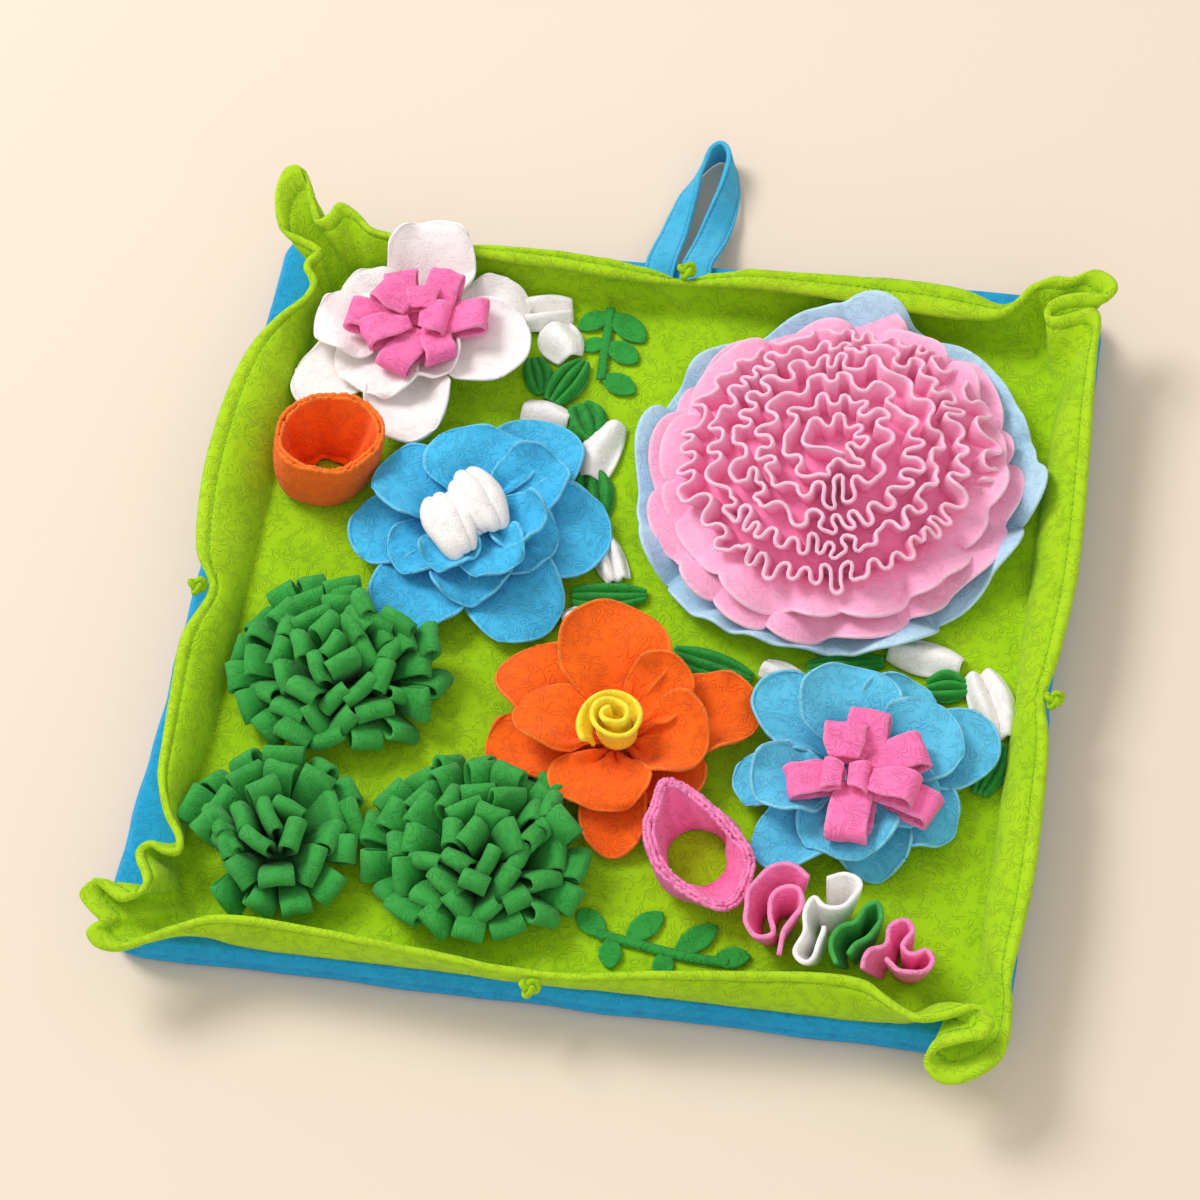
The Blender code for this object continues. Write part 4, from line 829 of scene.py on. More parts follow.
ROOT_HALF = 3.4               # half the width of a petal where it leaves the hub
ROOT_SHARE = 0.58             # share of its length from there to the middle of its round end
PETAL_STEPS = 40
ALONG = np.r_[np.linspace(-1, 0.76, 20), 0.84, 0.9, 0.945, 0.975, 1.0]
ACROSS = np.r_[-1.0, -0.965, -0.925, -0.87, np.linspace(-0.78, 0.78, 15), 0.87, 0.925, 0.965, 1.0]
# nearness to the free edge, and thickness there; the dip is the hem's seam
PETAL_HEM = ((0.0, 0.86, 0.925, 0.955, 0.975, 1.0), (1.9, 1.9, 1.25, 1.25, 1.9, 1.8))


def petal_surface(centre, root_radius, root_z, row, seed):
    """Middle of one petal: a paddle drawn together at its root, rising and bending over, its free
    edge rippled. Gives the points, their nearness to the free edge and their share of the length."""
    turn, length, width, rise, droop, roll, cup = row
    chance = np.random.default_rng(seed)
    arc = np.linspace(0, 1, PETAL_STEPS + 1)
    angle = np.radians(rise + (droop - rise) * arc)
    angle = (angle[1:] + angle[:-1]) / 2
    out, up = (running(way(angle)) / PETAL_STEPS * length for way in (np.cos, np.sin))
    s, t = np.meshgrid(ALONG, ACROSS, indexing="ij")
    x = np.where(s < 0, s, s * np.sqrt(1 - t * t / 2))
    y = np.where(s < 0, t, t * np.sqrt(1 - np.maximum(s, 0) ** 2 / 2))
    share = np.where(x < 0, ROOT_SHARE * (x + 1), ROOT_SHARE + (1 - ROOT_SHARE) * x)
    grow = np.clip(share / 0.5, 0, 1)
    grow = grow * grow * (3 - 2 * grow)
    side = y * (ROOT_HALF + (width / 2 - ROOT_HALF) * grow)
    ramp = np.clip(share / 0.35, 0, 1)
    edge = np.maximum(abs(t), np.maximum(s, 0))
    border = np.arctan2(side, (share - 0.4) * length)
    lift = 1.4 * cup * ramp * (y * y - 0.35) + side * sin(radians(roll)) * ramp
    waves, phase = chance.integers(3, 6), chance.uniform(0, 6)
    lift += 3.3 * edge ** 3 * ramp * np.sin(waves * border + phase)
    lift += 1.4 * np.sin(2 * border + 2 * phase) * ramp * edge ** 2
    lift += 0.8 * edge ** 6 * ramp * np.sin((2 * waves + 3) * border + 2 * phase)
    lift += chance.uniform(-1.5, 2.2) * edge ** 7 * ramp
    gathers = np.clip(share / 0.1, 0, 1) * np.clip((0.62 - share) / 0.5, 0, 1) ** 1.3
    lift += 3.0 * gathers * np.cos(y * pi * 2.6 + chance.uniform(-0.5, 0.5))
    crease = np.exp(-(y / 0.16) ** 2) * np.clip((0.8 - share) / 0.5, 0, 1)
    lift -= chance.uniform(0.5, 2.4) * crease * ramp
    flat = turned(*centre, turn, root_radius + np.interp(share, arc, out), side)
    grid = np.stack([*flat, root_z + np.interp(share, arc, up) + lift], axis=-1)
    sway = 0.9 * wobble(grid, 30, seed + 50)[..., None] * ramp[..., None]
    return grid + sway * np.array([0.3, 0.3, 1.0]), edge, share


def build_flowers():
    """Each layer: petals side by side round a small padded hub, on the layer before it."""
    for order, (name, flower) in enumerate(FLOWERS.items()):
        x, y, bottom, top, radius, root, colour, petals = flower
        # the hub under the petals gets painted shade
        parts = [hub(x, y, bottom, top, radius, order, 0.02, 0.3)]
        for k, petal in enumerate(petals):
            grid, edge, share = petal_surface((x, y), radius - 2.2, root, petal, 100 * order + k)
            # painted shade near the hub, lighter outwards (on the white flower also its own pink blush
            # there); painted highlight on the cut edge, painted shade in the hem's seam
            painted_light = np.clip(0.16 + 0.9 * share, 0, 0.55)
            painted_light = np.where(edge > 0.96, 0.95, np.where(abs(edge - 0.935) < 0.025, 0.3, painted_light))
            parts.append(shell(grid, np.interp(edge, *PETAL_HEM), painted_light=painted_light))
        finish = "blush" if colour == "white" else colour
        layer = make_mesh(f"{name}_cloth", gather(parts), finish)
        cloth(layer, name, 60)


# ---- pink strip loops ----------------------------------------------------------------------------
# loops, by columns: x, y, z of the sewn end, turn, reach, width, rise, height
LOOPS = {
    # name: (centre x, y, knot bottom z, knot top z, knot radius, loops)
    "white_loops": (-142, 156, 32.7, 56.0, 6.0, (
        (-150, 152, 45, 176, 31, 19, 12, 10), (-149, 160, 48, 104, 24, 18, 26, 10),
        (-131, 161, 48, 78, 26, 19, 28, 10), (-131, 156, 46, 8, 32, 20, 12, 10),
        (-138, 148, 45, 246, 30, 20, 5, 10), (-146, 152, 50, 214, 26, 18, 8, 10),
        (-145, 158, 55, 150, 22, 18, 12, 9), (-136, 152, 54, -4, 15, 20, 10, 9),
        (-138, 158, 56, 92, 13, 18, 8, 9), (-132, 148, 46, -62, 24, 17, 14, 9),
    )),
    "sky_loops": (146, -103, 32.7, 53.0, 6.0, (
        (148, -99, 43, 86, 30, 21, 16, 9), (138, -106, 43, 200, 29, 19, 8, 10),
        (154, -108, 41, -24, 38, 18, 2, 9), (152, -103, 44, 26, 32, 20, 11, 9),
        (148, -111, 43, -92, 34, 21, 2, 10), (155, -112, 49, -10, 25, 18, 5, 10),
        (140, -101, 51, 92, 20, 22, 10, 9), (140, -111, 52, 180, 10, 18, 0, 8),
        (143, -111, 52, 2, 10, 18, 0, 8),
    )),
}
LOOP_THICK = 2.1
# across a strip: painted highlight at both edges
LOOP_PAINTED_LIGHT = (0.9, 0.5, 0.5, 0.5, 0.5, 0.5, 0.5, 0.5, 0.9)


def loop_surface(row, seed):
    """A strip that runs outwards, turns over in a round bend and comes back above itself."""
    x, y, z, turn, reach, width, rise, height = row
    half = height / 2
    run = reach - half
    profile = [(run * k / 5, -half + 0.3 * k / 5) for k in range(5)]
    profile += [(run + half * sin(a), -half * cos(a)) for a in np.linspace(0.12, pi - 0.1, 9)]
    profile += [(run * k, half * (1.0 - 0.5 * (0.8 - k))) for k in (0.8, 0.6, 0.4, 0.2, 0.02)]
    out, up = np.array(profile).T[..., None]
    skew = np.random.default_rng(seed).uniform(-0.22, 0.22)
    v = np.linspace(-1, 1, 9)
    full = np.minimum(1.0, 0.7 + 0.03 * out)
    side = v * width / 2 * full + skew * (up + half)
    pinch = (1 - full) * 5.0 * np.cos(v * pi * 1.5) * np.where(up > 0, 0.6, -0.3)
    far, high = turned(0, z, rise, out, up + half)
    grid = np.stack([*turned(x, y, turn, far, side), high + pinch - 0.6 * v * v], axis=-1)
    grid = smooth_rows(grid, 2)
    return grid + 0.5 * wobble(grid, 14, seed)[..., None]


def build_loops():
    """Two bunches of looped strips, each on the petals of its flower."""
    for order, (name, (x, y, bottom, top, radius, loops)) in enumerate(LOOPS.items()):
        # the knot under the loops gets painted shade
        parts = [hub(x, y, bottom, top, radius, order, 0.05, 0.2)]
        for k, row in enumerate(loops):
            parts.append(shell(loop_surface(row, 40 * order + k), LOOP_THICK, painted_light=LOOP_PAINTED_LIGHT))
        bow = make_mesh(f"{name}_strips", gather(parts), "pink")
        cloth(bow, name, 19)


# ---- the white core and the yellow rosette -------------------------------------------------------
# the two bunches of the core: centre x, y, z, heading, folds (side, half length, radius, lift)
CORE_BUNCHES = (
    (-93, 19, 58.8, 122, ((8.0, 22, 7.2, -1.0), (0.5, 21, 7.6, 0.8), (-6.5, 20, 6.0, 0.0))),
    (-82, 34.5, 59.6, 128, ((7.0, 19, 6.2, -0.5), (0.0, 22, 7.8, 0.6), (-8.0, 22, 7.4, -1.0))),
)
ROSETTE = (16, -94)
ROLL_TURNS, ROLL_FOOT = 2.3, 44.5


def build_white_core():
    """Two puffed bunches side by side, the folds of each drawn together at both ends."""
    parts = [lump((-87, 27, 53.5), (15, 15, 5.5), 3, 0.03)]
    along = np.sin(np.linspace(-pi / 2, pi / 2, 27)) * 0.995
    for x, y, z, heading, folds in CORE_BUNCHES:
        for k, (side, length, radius, lift) in enumerate(folds):
            drift = side * (1 - 0.42 * along ** 2) + 0.8 * np.sin(2 * along + k)
            path = np.column_stack([*turned(x, y, heading, along * length, drift),
                                    z + lift - 4.5 * along ** 2])
            swell = radius * (1 - along ** 2) ** 0.36 * (1 + 0.06 * np.sin(5 * along + k))
            points, faces, _ = tube_along(path, swell, 18, closed=False)
            # painted shade low on each fold, lighter towards its top
            high = np.clip((points[:, 2] - z + 1) / 7.0, 0, 1)
            parts.append((points, faces, 0.12 + 0.42 * high))
    core = make_mesh("white_core_folds", gather(parts), "white")
    stand_in(core, "white_core")


def standing(path, heights, shifts, thick, painted_light):
    """A strip standing on edge along a path; at each height the path is shifted by so much."""
    rows = [np.column_stack([path + shift, height]) for height, shift in zip(heights, shifts)]
    return shell(np.stack(rows, axis=1), thick, painted_light=painted_light)


def build_rosette():
    """The yellow centre: a strip rolled up on its edge; its last turn leans out into a wide lip."""
    share = np.linspace(0, 1, 131)
    angle = radians(118) + 2 * pi * ROLL_TURNS * share
    radius = 2.4 + 11.6 * share ** 0.85 + 0.5 * np.sin(angle * 2.3)
    out = np.column_stack([np.cos(angle), np.sin(angle)])
    path = np.array(ROSETTE) + out * radius[:, None] * np.array([1.08, 1.0])
    lip = np.clip((share - 0.5) / 0.5, 0, 1)
    top = np.interp(share, (0, 0.5, 1), (66, 65, 56.5)) + 0.6 * np.sin(angle * 3.1)
    levels = np.linspace(0, 1, 8)
    heights = [ROLL_FOOT + (top - ROLL_FOOT) * level for level in levels]
    shifts = [out * ((1.0 + 4.2 * lip) * level ** 2 - (1.5 * level + 1.2) * (1 - level))[:, None]
              for level in levels]
    # up the strip: painted shade at its foot, painted highlight at its top edge; the lump inside the
    # roll gets painted shade
    painted_light = (0.1, 0.25, 0.4, 0.5, 0.5, 0.55, 0.65, 0.95)
    roll = make_mesh("yellow_roll", gather([standing(path, heights, shifts, 2.6, painted_light),
                                            lump((*ROSETTE, 50), (10, 10, 6), painted_light=0.15)]), "yellow")
    cloth(roll, "yellow_rosette", 18)


# ---- cup and ring --------------------------------------------------------------------------------
# the cup by height: z, centre x, y, radius x, y at the middle of its wall
CUP = np.array(((23.6, -178, 64, 21, 20), (28, -178, 64.5, 24.5, 23.5), (34, -177, 65, 26.5, 25.5),
                (42, -175.5, 66, 28, 26.8), (50, -174, 67, 28.6, 27), (60, -172, 68, 28.4, 26.6)))
CUP_EDGE = 60.0


def cup_pleats(turn):
    return np.cos(7 * turn + 1.2 * np.sin(2 * turn))


def cup_ply(inset, top, seed, low, pleats, wall_painted_light):
    """One ply of the cup: its rim frayed, its foot drawn in with pleats."""
    turn = circle(144)
    heights = np.r_[np.linspace(low, 56, 9), 58.5, CUP_EDGE]
    chance = np.random.default_rng(seed)
    fray = 0.6 * chance.normal(size=144) + 0.8 * np.sin(3 * turn + seed) + 0.5 * np.sin(7 * turn)
    sway = 0.8 * np.sin(2 * turn + 1) + 0.5 * np.sin(5 * turn + seed)
    columns = []
    for z in heights:
        x, y, reach_x, reach_y = (np.interp(z, CUP[:, 0], CUP[:, k]) for k in (1, 2, 3, 4))
        share = (z - low) / (CUP_EDGE - low)
        pleat = (1 - share) ** 0.8 * cup_pleats(turn) * min(1, 4 * share + 0.3)
        give = pleats * (pleat - 2.0 * (1 - share) ** 1.5) - inset + sway
        columns.append(ring_points((x, y), reach_x + give, reach_y + give, turn,
                                   z + (top - CUP_EDGE) * share + fray * share ** 6))
    # up the ply: painted shade at its foot, painted highlight at its rim
    painted_light = np.interp(np.linspace(0, 1, len(heights)), (0, 0.4, 0.93, 1),
                     (0.15, wall_painted_light, wall_painted_light, 0.95))
    return shell(np.stack(columns, axis=1), 2.2, True, painted_light)


def build_cup():
    """Two plies and, inside them, a floor drawn together in the same pleats."""
    # the inner ply's wall gets more painted shade than the outer one
    parts = [cup_ply(-0.6, 60.0, 1, 23.8, 0.0, 0.55), cup_ply(1.6, 59.6, 2, 26.0, 3.4, 0.42)]
    turn = circle(104)
    rings = []
    for radius, height in ((18.5, 27.6), (16.0, 25.6), (13.0, 24.4), (11.0, 23.8)):
        reach = radius * (1 + 0.072 * cup_pleats(turn))
        rings.append(ring_points(CUP[0, 1:3], reach, 0.95 * reach, turn,
                                 height + 0.3 * np.cos(7 * turn)))
    # painted shade on the floor inside the cup
    parts.append(shell(np.stack(rings, axis=1), 1.4, True, 0.25))
    cup = make_mesh("orange_cup_cloth", gather(parts), "orange")
    cloth(cup, "orange_cup", 40)


# the ring's edge seen from above, at the middle of its wall: x, y
RING_EDGE = ((47.5, -126), (45, -139), (43.5, -154), (51.5, -171.5), (67, -182), (84, -188),
             (93.5, -184.5), (98.5, -172.5), (98.5, -157), (89, -146), (74, -134), (58, -125.5))
RING_FOOT = (68, -152, 20.5, 21.5)     # centre x, y, radius x, y
RING_LOW = 23.7
# up its wall: share of the height, painted light (painted shade at the foot, painted highlight at the
# rim)
RING_LEVELS = (0, 0.12, 0.28, 0.45, 0.62, 0.78, 0.88, 0.94, 0.975, 1.0)
RING_PAINTED_LIGHT = (0.1, 0.2, 0.35, 0.5, 0.55, 0.55, 0.55, 0.6, 0.7, 0.9)
RING_PLIES = ((-0.9, 0.6, 0.0), (1.2, 0.0, 0.6), (3.3, 0.8, 2.4))      # inset, drop, sag


def build_ring():
    """A short thick tube lying tilted, its plies pressed together, its rim drawn to a point at the
    back and rough-cut, its inner wall sagging in soft bulges."""
    edge = smooth_rows(RING_EDGE, 14, closed=True)
    x, y, reach_x, reach_y = RING_FOOT
    turn = np.arctan2(edge[:, 1] - y, edge[:, 0] - x)
    foot = np.column_stack([x + reach_x * np.cos(turn), y + reach_y * np.sin(turn)])
    top = 46.5 - 0.18 * (edge[:, 0] - 72) + 0.12 * (edge[:, 1] + 156)
    chance = np.random.default_rng(8)
    parts = []
    for ply, (inset, drop, sag) in enumerate(RING_PLIES):
        fray, rough = chance.normal(size=len(edge)), chance.normal(size=len(edge))
        columns = []
        for level in RING_LEVELS:
            belly = (np.sin(3 * turn) - np.cos(5 * turn)) * level * (1 - level) * 3
            belly = belly + 1.8 * sin(pi * level)
            belly = belly - sag * sin(pi * level ** 0.8) * (0.9 + 0.8 * np.sin(4 * turn + 1.2))
            flat = foot + (edge - foot) * level ** 0.8
            out = unit(flat - flat.mean(axis=0))
            ragged = level ** 10
            flat = flat + out * (belly - inset + 0.32 * rough * ragged)[:, None]
            height = RING_LOW + (top - drop - RING_LOW) * level
            height = height + 0.5 * ragged * (fray + np.sin(9 * turn + ply))
            columns.append(np.column_stack([flat, height]))
        painted_light = RING_PAINTED_LIGHT + 0.12 * rough[:, None] * np.linspace(0, 1, len(RING_PAINTED_LIGHT)) ** 6
        parts.append(shell(np.stack(columns, axis=1), 2.3, True, np.clip(painted_light, 0, 1), 0.7))
    ring = make_mesh("pink_ring_cloth", gather(parts), "pink")
    cloth(ring, "pink_ring", 24)


# ---- carnation -----------------------------------------------------------------------------------
CARNATION = np.array((106.0, 86.0))
STRETCH = 1.04                # its length along y, when that along x is 1
BASE_RADIUS = 114.0
BASE_SHARES = (0.56, 0.66, 0.73, 0.79, 0.84, 0.88, 0.915, 0.945, 0.97, 0.988, 1.0)
COIL_RADIUS, COIL_PITCH = 80.0, 13.2   # of the long strip that winds in
PLY_APART = 5.6               # usual room from one ply of it to the next
LINK = 2.2                    # from each point of its seam to the next
RUFFLE_TOP = 75.0


def at_spots(turn, spots):
    """1 at some headings (in radians) round the flower, and 0 between them."""
    return sum(np.exp(-(((turn - spot + pi) % (2 * pi) - pi) / 0.19) ** 2) for spot in spots)


def build_carnation_base():
    """The light blue disc under it: its outer part full, lying in soft folds that roll over."""
    turn = circle(600)
    fold = 9 * turn + 1.1 * np.sin(2 * turn + 0.4) + 0.8 * np.sin(5 * turn)
    slow = np.sin(fold) + 0.35 * np.sin(4 * turn + 1)
    gathers = 26 * turn + 2.2 * np.sin(4 * turn) + 1.5 * np.sin(7 * turn + 2)
    strength = np.clip(0.45 + 0.55 * np.sin(3 * turn + 0.8) + 0.3 * np.sin(5 * turn), 0.05, 1.2)
    scallop = 1 + 0.022 * np.sin(5 * turn + 0.6)
    climb = 9.0 * np.clip(np.sin(turn), 0, 1) ** 3 + 3.0 * np.clip(np.cos(turn), 0, 1) ** 4
    rolled, tight = at_spots(turn, (0.05, 1.5, 2.75, 3.7, 5.35, 5.95)), 17 * turn + 1.0
    columns = []
    for share in BASE_SHARES:
        full = np.clip((share - 0.66) / 0.34, 0, 1) ** 1.3
        angle = turn - full * (0.03 * np.cos(fold) + 0.006 * strength * np.cos(gathers)
                               + 0.05 * rolled * np.cos(tight))
        draw = 0.02 * full * (1 - slow) + 0.025 * full * rolled * (1 - np.sin(tight))
        reach = BASE_RADIUS * (share * scallop ** full * (1 - draw))
        height = SEAT + 1.0 + full * (9.0 + climb + 6.4 * slow + 2.2 * strength * np.sin(gathers)
                                      + 5.2 * rolled * np.sin(tight + 0.7))
        columns.append(ring_points(CARNATION, reach, reach, angle, np.maximum(height, SEAT + 1.0)))
    # painted shade on the inner part under the ruffle (on this pale blue cloth also its own lavender
    # there), painted highlight at the edge; lighter on the folds' crests, painted shade in their
    # troughs
    painted_light = np.interp(BASE_SHARES, (0.56, 0.8, 0.9, 0.985, 1.0), (0.0, 0.15, 0.5, 0.6, 1.0))
    painted_light = np.clip(painted_light + 0.14 * slow[:, None], 0, 1)
    part = open_ring(shell(np.stack(columns, axis=1), 1.9, True, painted_light), len(turn), len(columns))
    disc = make_mesh("carnation_base_cloth", part, "light_blue")
    cloth(disc, "carnation_base", 230)


def patches(path, size, seed):
    return wobble(np.column_stack([path, np.zeros(len(path))]), size, seed)


def winding_path(outer, pitch, apart, rounds, seed):
    """The seam of one long strip seen from above: it winds in and folds to and fro, tight in some
    places and wide in others, until it fills the flower."""
    chance = np.random.default_rng(seed)
    angle, points = 0.0, []
    while outer - pitch * angle / (2 * pi) > 5.0:
        radius = outer - pitch * angle / (2 * pi)
        wave = chance.choice((chance.uniform(8.0, 12.0), chance.uniform(14.0, 30.0)))
        swing = min(pitch * chance.uniform(0.2, 0.46), 0.8 * radius)
        for k in range(14):
            phase = 2 * pi * k / 14
            along = wave * k / 14 - 0.16 * wave * sin(2 * phase)
            spot = angle + along / max(radius, 7.0)
            reach = radius + swing * sin(phase)
            points.append((reach * cos(spot), STRETCH * reach * sin(spot)))
        angle += wave / max(radius, 7.0)
    path = even_steps(np.array(points), LINK)
    for step in range(rounds):
        count = len(path)
        if step % 5 == 0:
            room = np.clip(apart * (1 + 0.4 * patches(path, 44, seed)), 3.6, 8.0)
            if 0 < step < 0.7 * rounds:
                crowd = np.clip(1.1 - 1.2 * patches(path[:-1], 44, seed), 0.15, 2.4)
                pick = np.sort(chance.choice(count - 1, size=int(count * 0.022), replace=False,
                                             p=crowd / crowd.sum()))
                path = np.insert(path, pick + 1, (path[pick] + path[pick + 1]) / 2, axis=0)
                room = np.insert(room, pick + 1, room[pick])
                count = len(path)
            first, second = near_pairs(path, 8.5)
        gap = path[first] - path[second]
        distance = np.linalg.norm(gap, axis=1)
        push = np.maximum(room[first] - distance, 0) / np.maximum(distance, 0.3) * 0.25
        push = gap * push[:, None]
        force = np.zeros_like(path)
        for c in range(2):
            force[:, c] = (np.bincount(first, push[:, c], count)
                           - np.bincount(second, push[:, c], count))
        link = np.diff(path, axis=0)
        length = np.linalg.norm(link, axis=1, keepdims=True)
        pull = link * (length - LINK) / np.maximum(length, 1e-3) * 0.4
        force[:-1] += pull
        force[1:] -= pull
        force[1:-1] += 0.5 * ((path[:-2] + path[2:]) / 2 - path[1:-1])
        path = path + np.clip(force, -0.7, 0.7)
        reach = np.sqrt(path[:, 0] ** 2 + (path[:, 1] / STRETCH) ** 2)
        path = path / np.maximum(reach / (outer + 6), 1.0)[:, None]
    return even_steps(relax(path, 3), 1.9)


def near_pairs(path, limit):
    """Index pairs of path points that are closer than the limit and not next to each other."""
    first, second = [], []
    for start in range(0, len(path), 400):
        gap = path[start:start + 400, None, :] - path[None]
        a, b = np.nonzero((gap ** 2).sum(-1) < limit ** 2)
        far = b > a + start + 3
        first.append(a[far] + start)
        second.append(b[far])
    return np.concatenate(first), np.concatenate(second)


def even_steps(path, step):
    run = run_along(path)
    spots = np.linspace(0, run[-1], int(run[-1] / step) + 1)
    return np.column_stack([np.interp(spots, run, path[:, k]) for k in range(2)])


def relax(path, passes):
    for _ in range(passes):
        inner = (path[:-2] + 2 * path[1:-1] + path[2:]) / 4
        path = np.concatenate([path[:1], inner, path[-1:]])
    return path


def frill(inside, outside, low, high, folds, seed, rolls):
    """A full ring of cloth that slopes outwards, its edge in soft waves with a few rolled folds."""
    turn = circle(720)
    phase = folds * turn + 1.3 * np.sin(2 * turn + seed) + 0.9 * np.sin(5 * turn + 2 * seed)
    rolled, tight = at_spots(turn, rolls), 19 * turn + 1.5 * np.sin(3 * turn + seed)
    columns = []
    for share in (0, 0.2, 0.38, 0.54, 0.68, 0.8, 0.9, 0.96, 1.0):
        full = share ** 1.3
        angle = turn - full * (0.05 * np.cos(phase) + 0.055 * rolled * np.cos(tight))
        reach = inside + (outside - inside) * share + full * (
            3.0 * np.sin(phase) + rolled * (4.0 * np.sin(tight) - 2.0))
        height = low + (high - low) * share + full * (
            4.8 * np.sin(phase + 0.9) + rolled * (4.2 * np.sin(tight + 0.8) + 1.5))
        columns.append(ring_points(CARNATION, reach, 1.05 * reach, angle, height))
    # up the frill: painted shade at its foot, painted highlight at its edge
    painted_light = (0.1, 0.2, 0.3, 0.42, 0.5, 0.55, 0.6, 0.75, 1.0)
    return shell(np.stack(columns, axis=1), 2.0, True, painted_light)


def build_carnation_ruffle():
    """One long strip on edge that winds in, folding to and fro and leaning outwards, over two
    sloping outer frills and a low filling."""
    path = winding_path(COIL_RADIUS, COIL_PITCH, PLY_APART, 150, 14)
    calm = relax(path, 60)
    columns = []
    for level in (0.0, 0.3, 0.55, 0.75, 0.88, 0.96, 1.0):
        flat = calm + (path - calm) * (0.5 + 0.5 * level ** 0.7)
        reach = np.hypot(flat[:, 0], flat[:, 1])
        flop = np.minimum(0.3 * reach, 3.0 + 8.0 * reach / COIL_RADIUS) * (level ** 1.6 - 0.45)
        flat = flat * (1 + flop / np.maximum(reach, 1.0))[:, None]
        reach = np.hypot(flat[:, 0], flat[:, 1])
        top = 38 + 37 * np.sqrt(np.clip(1 - (reach / 97.0) ** 2, 0, 1)) + 2.6 * patches(path, 26, 5)
        foot = SEAT + 3.4 + 6.0 * np.clip((reach - 48) / 35, 0, 1)
        low = np.maximum(foot, top - 30)
        columns.append(np.column_stack([CARNATION + flat,
                                        np.minimum(low + (top - low) * level, RUFFLE_TOP)]))
    # up the strip: painted shade low between the plies, painted highlight at the top edge; the low
    # filling gets painted shade
    thick, painted_light = (2.0, 2.0, 1.9, 1.9, 2.0, 2.2, 2.0), (0.0, 0.0, 0.15, 0.35, 0.5, 0.65, 1.0)
    parts = [shell(np.stack(columns, axis=1), thick, painted_light=painted_light, crown=0.7),
             frill(77, 101, 40, 36.5, 9, 0.4, (0.3, 1.45, 2.9, 4.05, 4.5, 5.3)),
             frill(68, 93, 48.5, 44.0, 8, 2.1, (0.0, 0.9, 2.2, 3.4, 4.2, 4.85, 5.7)),
             lump((*CARNATION, 40.0), (76, 79, 22), 9, 0.0, 60, 20, painted_light=0.1, fullness=2.0)]
    ruffle = make_mesh("carnation_ruffle_cloth", gather(parts), "ruffle_pink")
    cloth(ruffle, "carnation_ruffle", 36)


# ---- tufts ---------------------------------------------------------------------------------------
TUFTS = {
    # name: (centre x, y, spread along x, y, circles (x, y, radius) that stay clear,
    #        rings (share of the foot, strips, lean))
    "tuft_left": (-142, -64, 57, 50, ((-86, 33, 85),),
                  ((0, 1, 4), (.18, 6, 20), (.40, 12, 39), (.62, 15, 56), (.82, 18, 70))),
    "tuft_corner": (-155, -171, 43, 42, ((-205, -202, 33), (-142, -64, 63), (-45, -167, 65)),
                    ((0, 1, 4), (.24, 5, 24), (.52, 11, 46), (.78, 14, 64))),
    "tuft_front": (-45, -167, 57, 48, ((-30, -98, 30), (20, -140, 27)),
                   ((0, 1, 4), (.18, 6, 20), (.40, 12, 39), (.62, 15, 56), (.82, 18, 70))),
}
TUFT_FOOT = 0.74              # its foot, when its spread is 1
FOLDED_HEIGHT = 26.0
FOLDED_STRIPS = ((17.5, 7.6, 0.8), (19.5, 6.6, -0.9), (16.0, 8.6, 0.3))    # width, thickness, curl
# a folded strip on each point, by the point's own turn and build
PLANTED_STRIPS = make_tree("planted_strips", (
    ("Spots", "Geometry", None), ("Strip", "Object", None), ("Size", "Float", 1.0),
    ("Finish", "Material", None)), "Tuft", {
    "info": ("GeometryNodeObjectInfo", {"transform_space": "ORIGINAL"}, {}),
    "plant": ("GeometryNodeInstanceOnPoints", {}, {}),
    "turn": ("GeometryNodeInputNamedAttribute", {"data_type": "FLOAT_VECTOR"}, {"Name": "turn"}),
    "build": ("GeometryNodeInputNamedAttribute", {"data_type": "FLOAT_VECTOR"}, {"Name": "build"}),
    "scale": ("ShaderNodeVectorMath", {"operation": "SCALE"}, {}),
    "euler": ("FunctionNodeEulerToRotation", {}, {}),
}, (
    ("start", "Spots", "plant", "Points"), ("start", "Strip", "info", "Object"),
    ("info", "Geometry", "plant", "Instance"), ("turn", 0, "euler", 0),
    ("euler", 0, "plant", "Rotation"), ("build", 0, "scale", 0),
    ("start", "Size", "scale", "Scale"), ("scale", 0, "plant", "Scale")))


def folded_strip(width, thick, curl):
    """One strip folded in half: two plies that part upwards into a round bend."""
    half = thick / 2
    profile = [(-1.6, -4.0), (-1.9, 4.0), (-half * 0.86, 12.0), (-half, 19.0)]
    profile += [(-half * cos(a), 22.0 + half * 1.15 * sin(a))
                for a in np.linspace(0.25, pi - 0.25, 5)]
    profile += [(half, 19.0), (half * 0.8, 12.0), (1.9, 4.0), (1.6, -4.0)]
    flat, up = np.array(profile).T[..., None]
    v = np.array((-1, 0, 1))
    spread = np.interp(up, (-4, 16, 26), (0.5, 0.94, 1.0))
    grid = np.stack(np.broadcast_arrays(flat + curl * v * v * up / FOLDED_HEIGHT,
                                        v * width / 2 * spread, up), axis=-1)
    # painted shade at the foot, lighter up to the bend, with painted highlight on the side edges
    painted_light = np.interp(up, (-4, 14, 26), (0.0, 0.25, 0.75)) + (0.12, 0.0, 0.12)
    return make_mesh("strip", shell(grid, 2.1, painted_light=np.clip(painted_light, 0, 1)), "leaf")


def clear_lean(x, y, way, lean, clear):
    """The lean, lessened until the strip's tip stays out of the circles; 0 where it can't."""
    while lean > 0:
        reach = (FOLDED_HEIGHT + 2) * sin(radians(lean))
        tip_x, tip_y = x + reach * cos(way), y + reach * sin(way)
        if all(hypot(tip_x - a, tip_y - b) > limit - 3 for a, b, limit in clear):
            return lean
        lean -= 6
    return 0


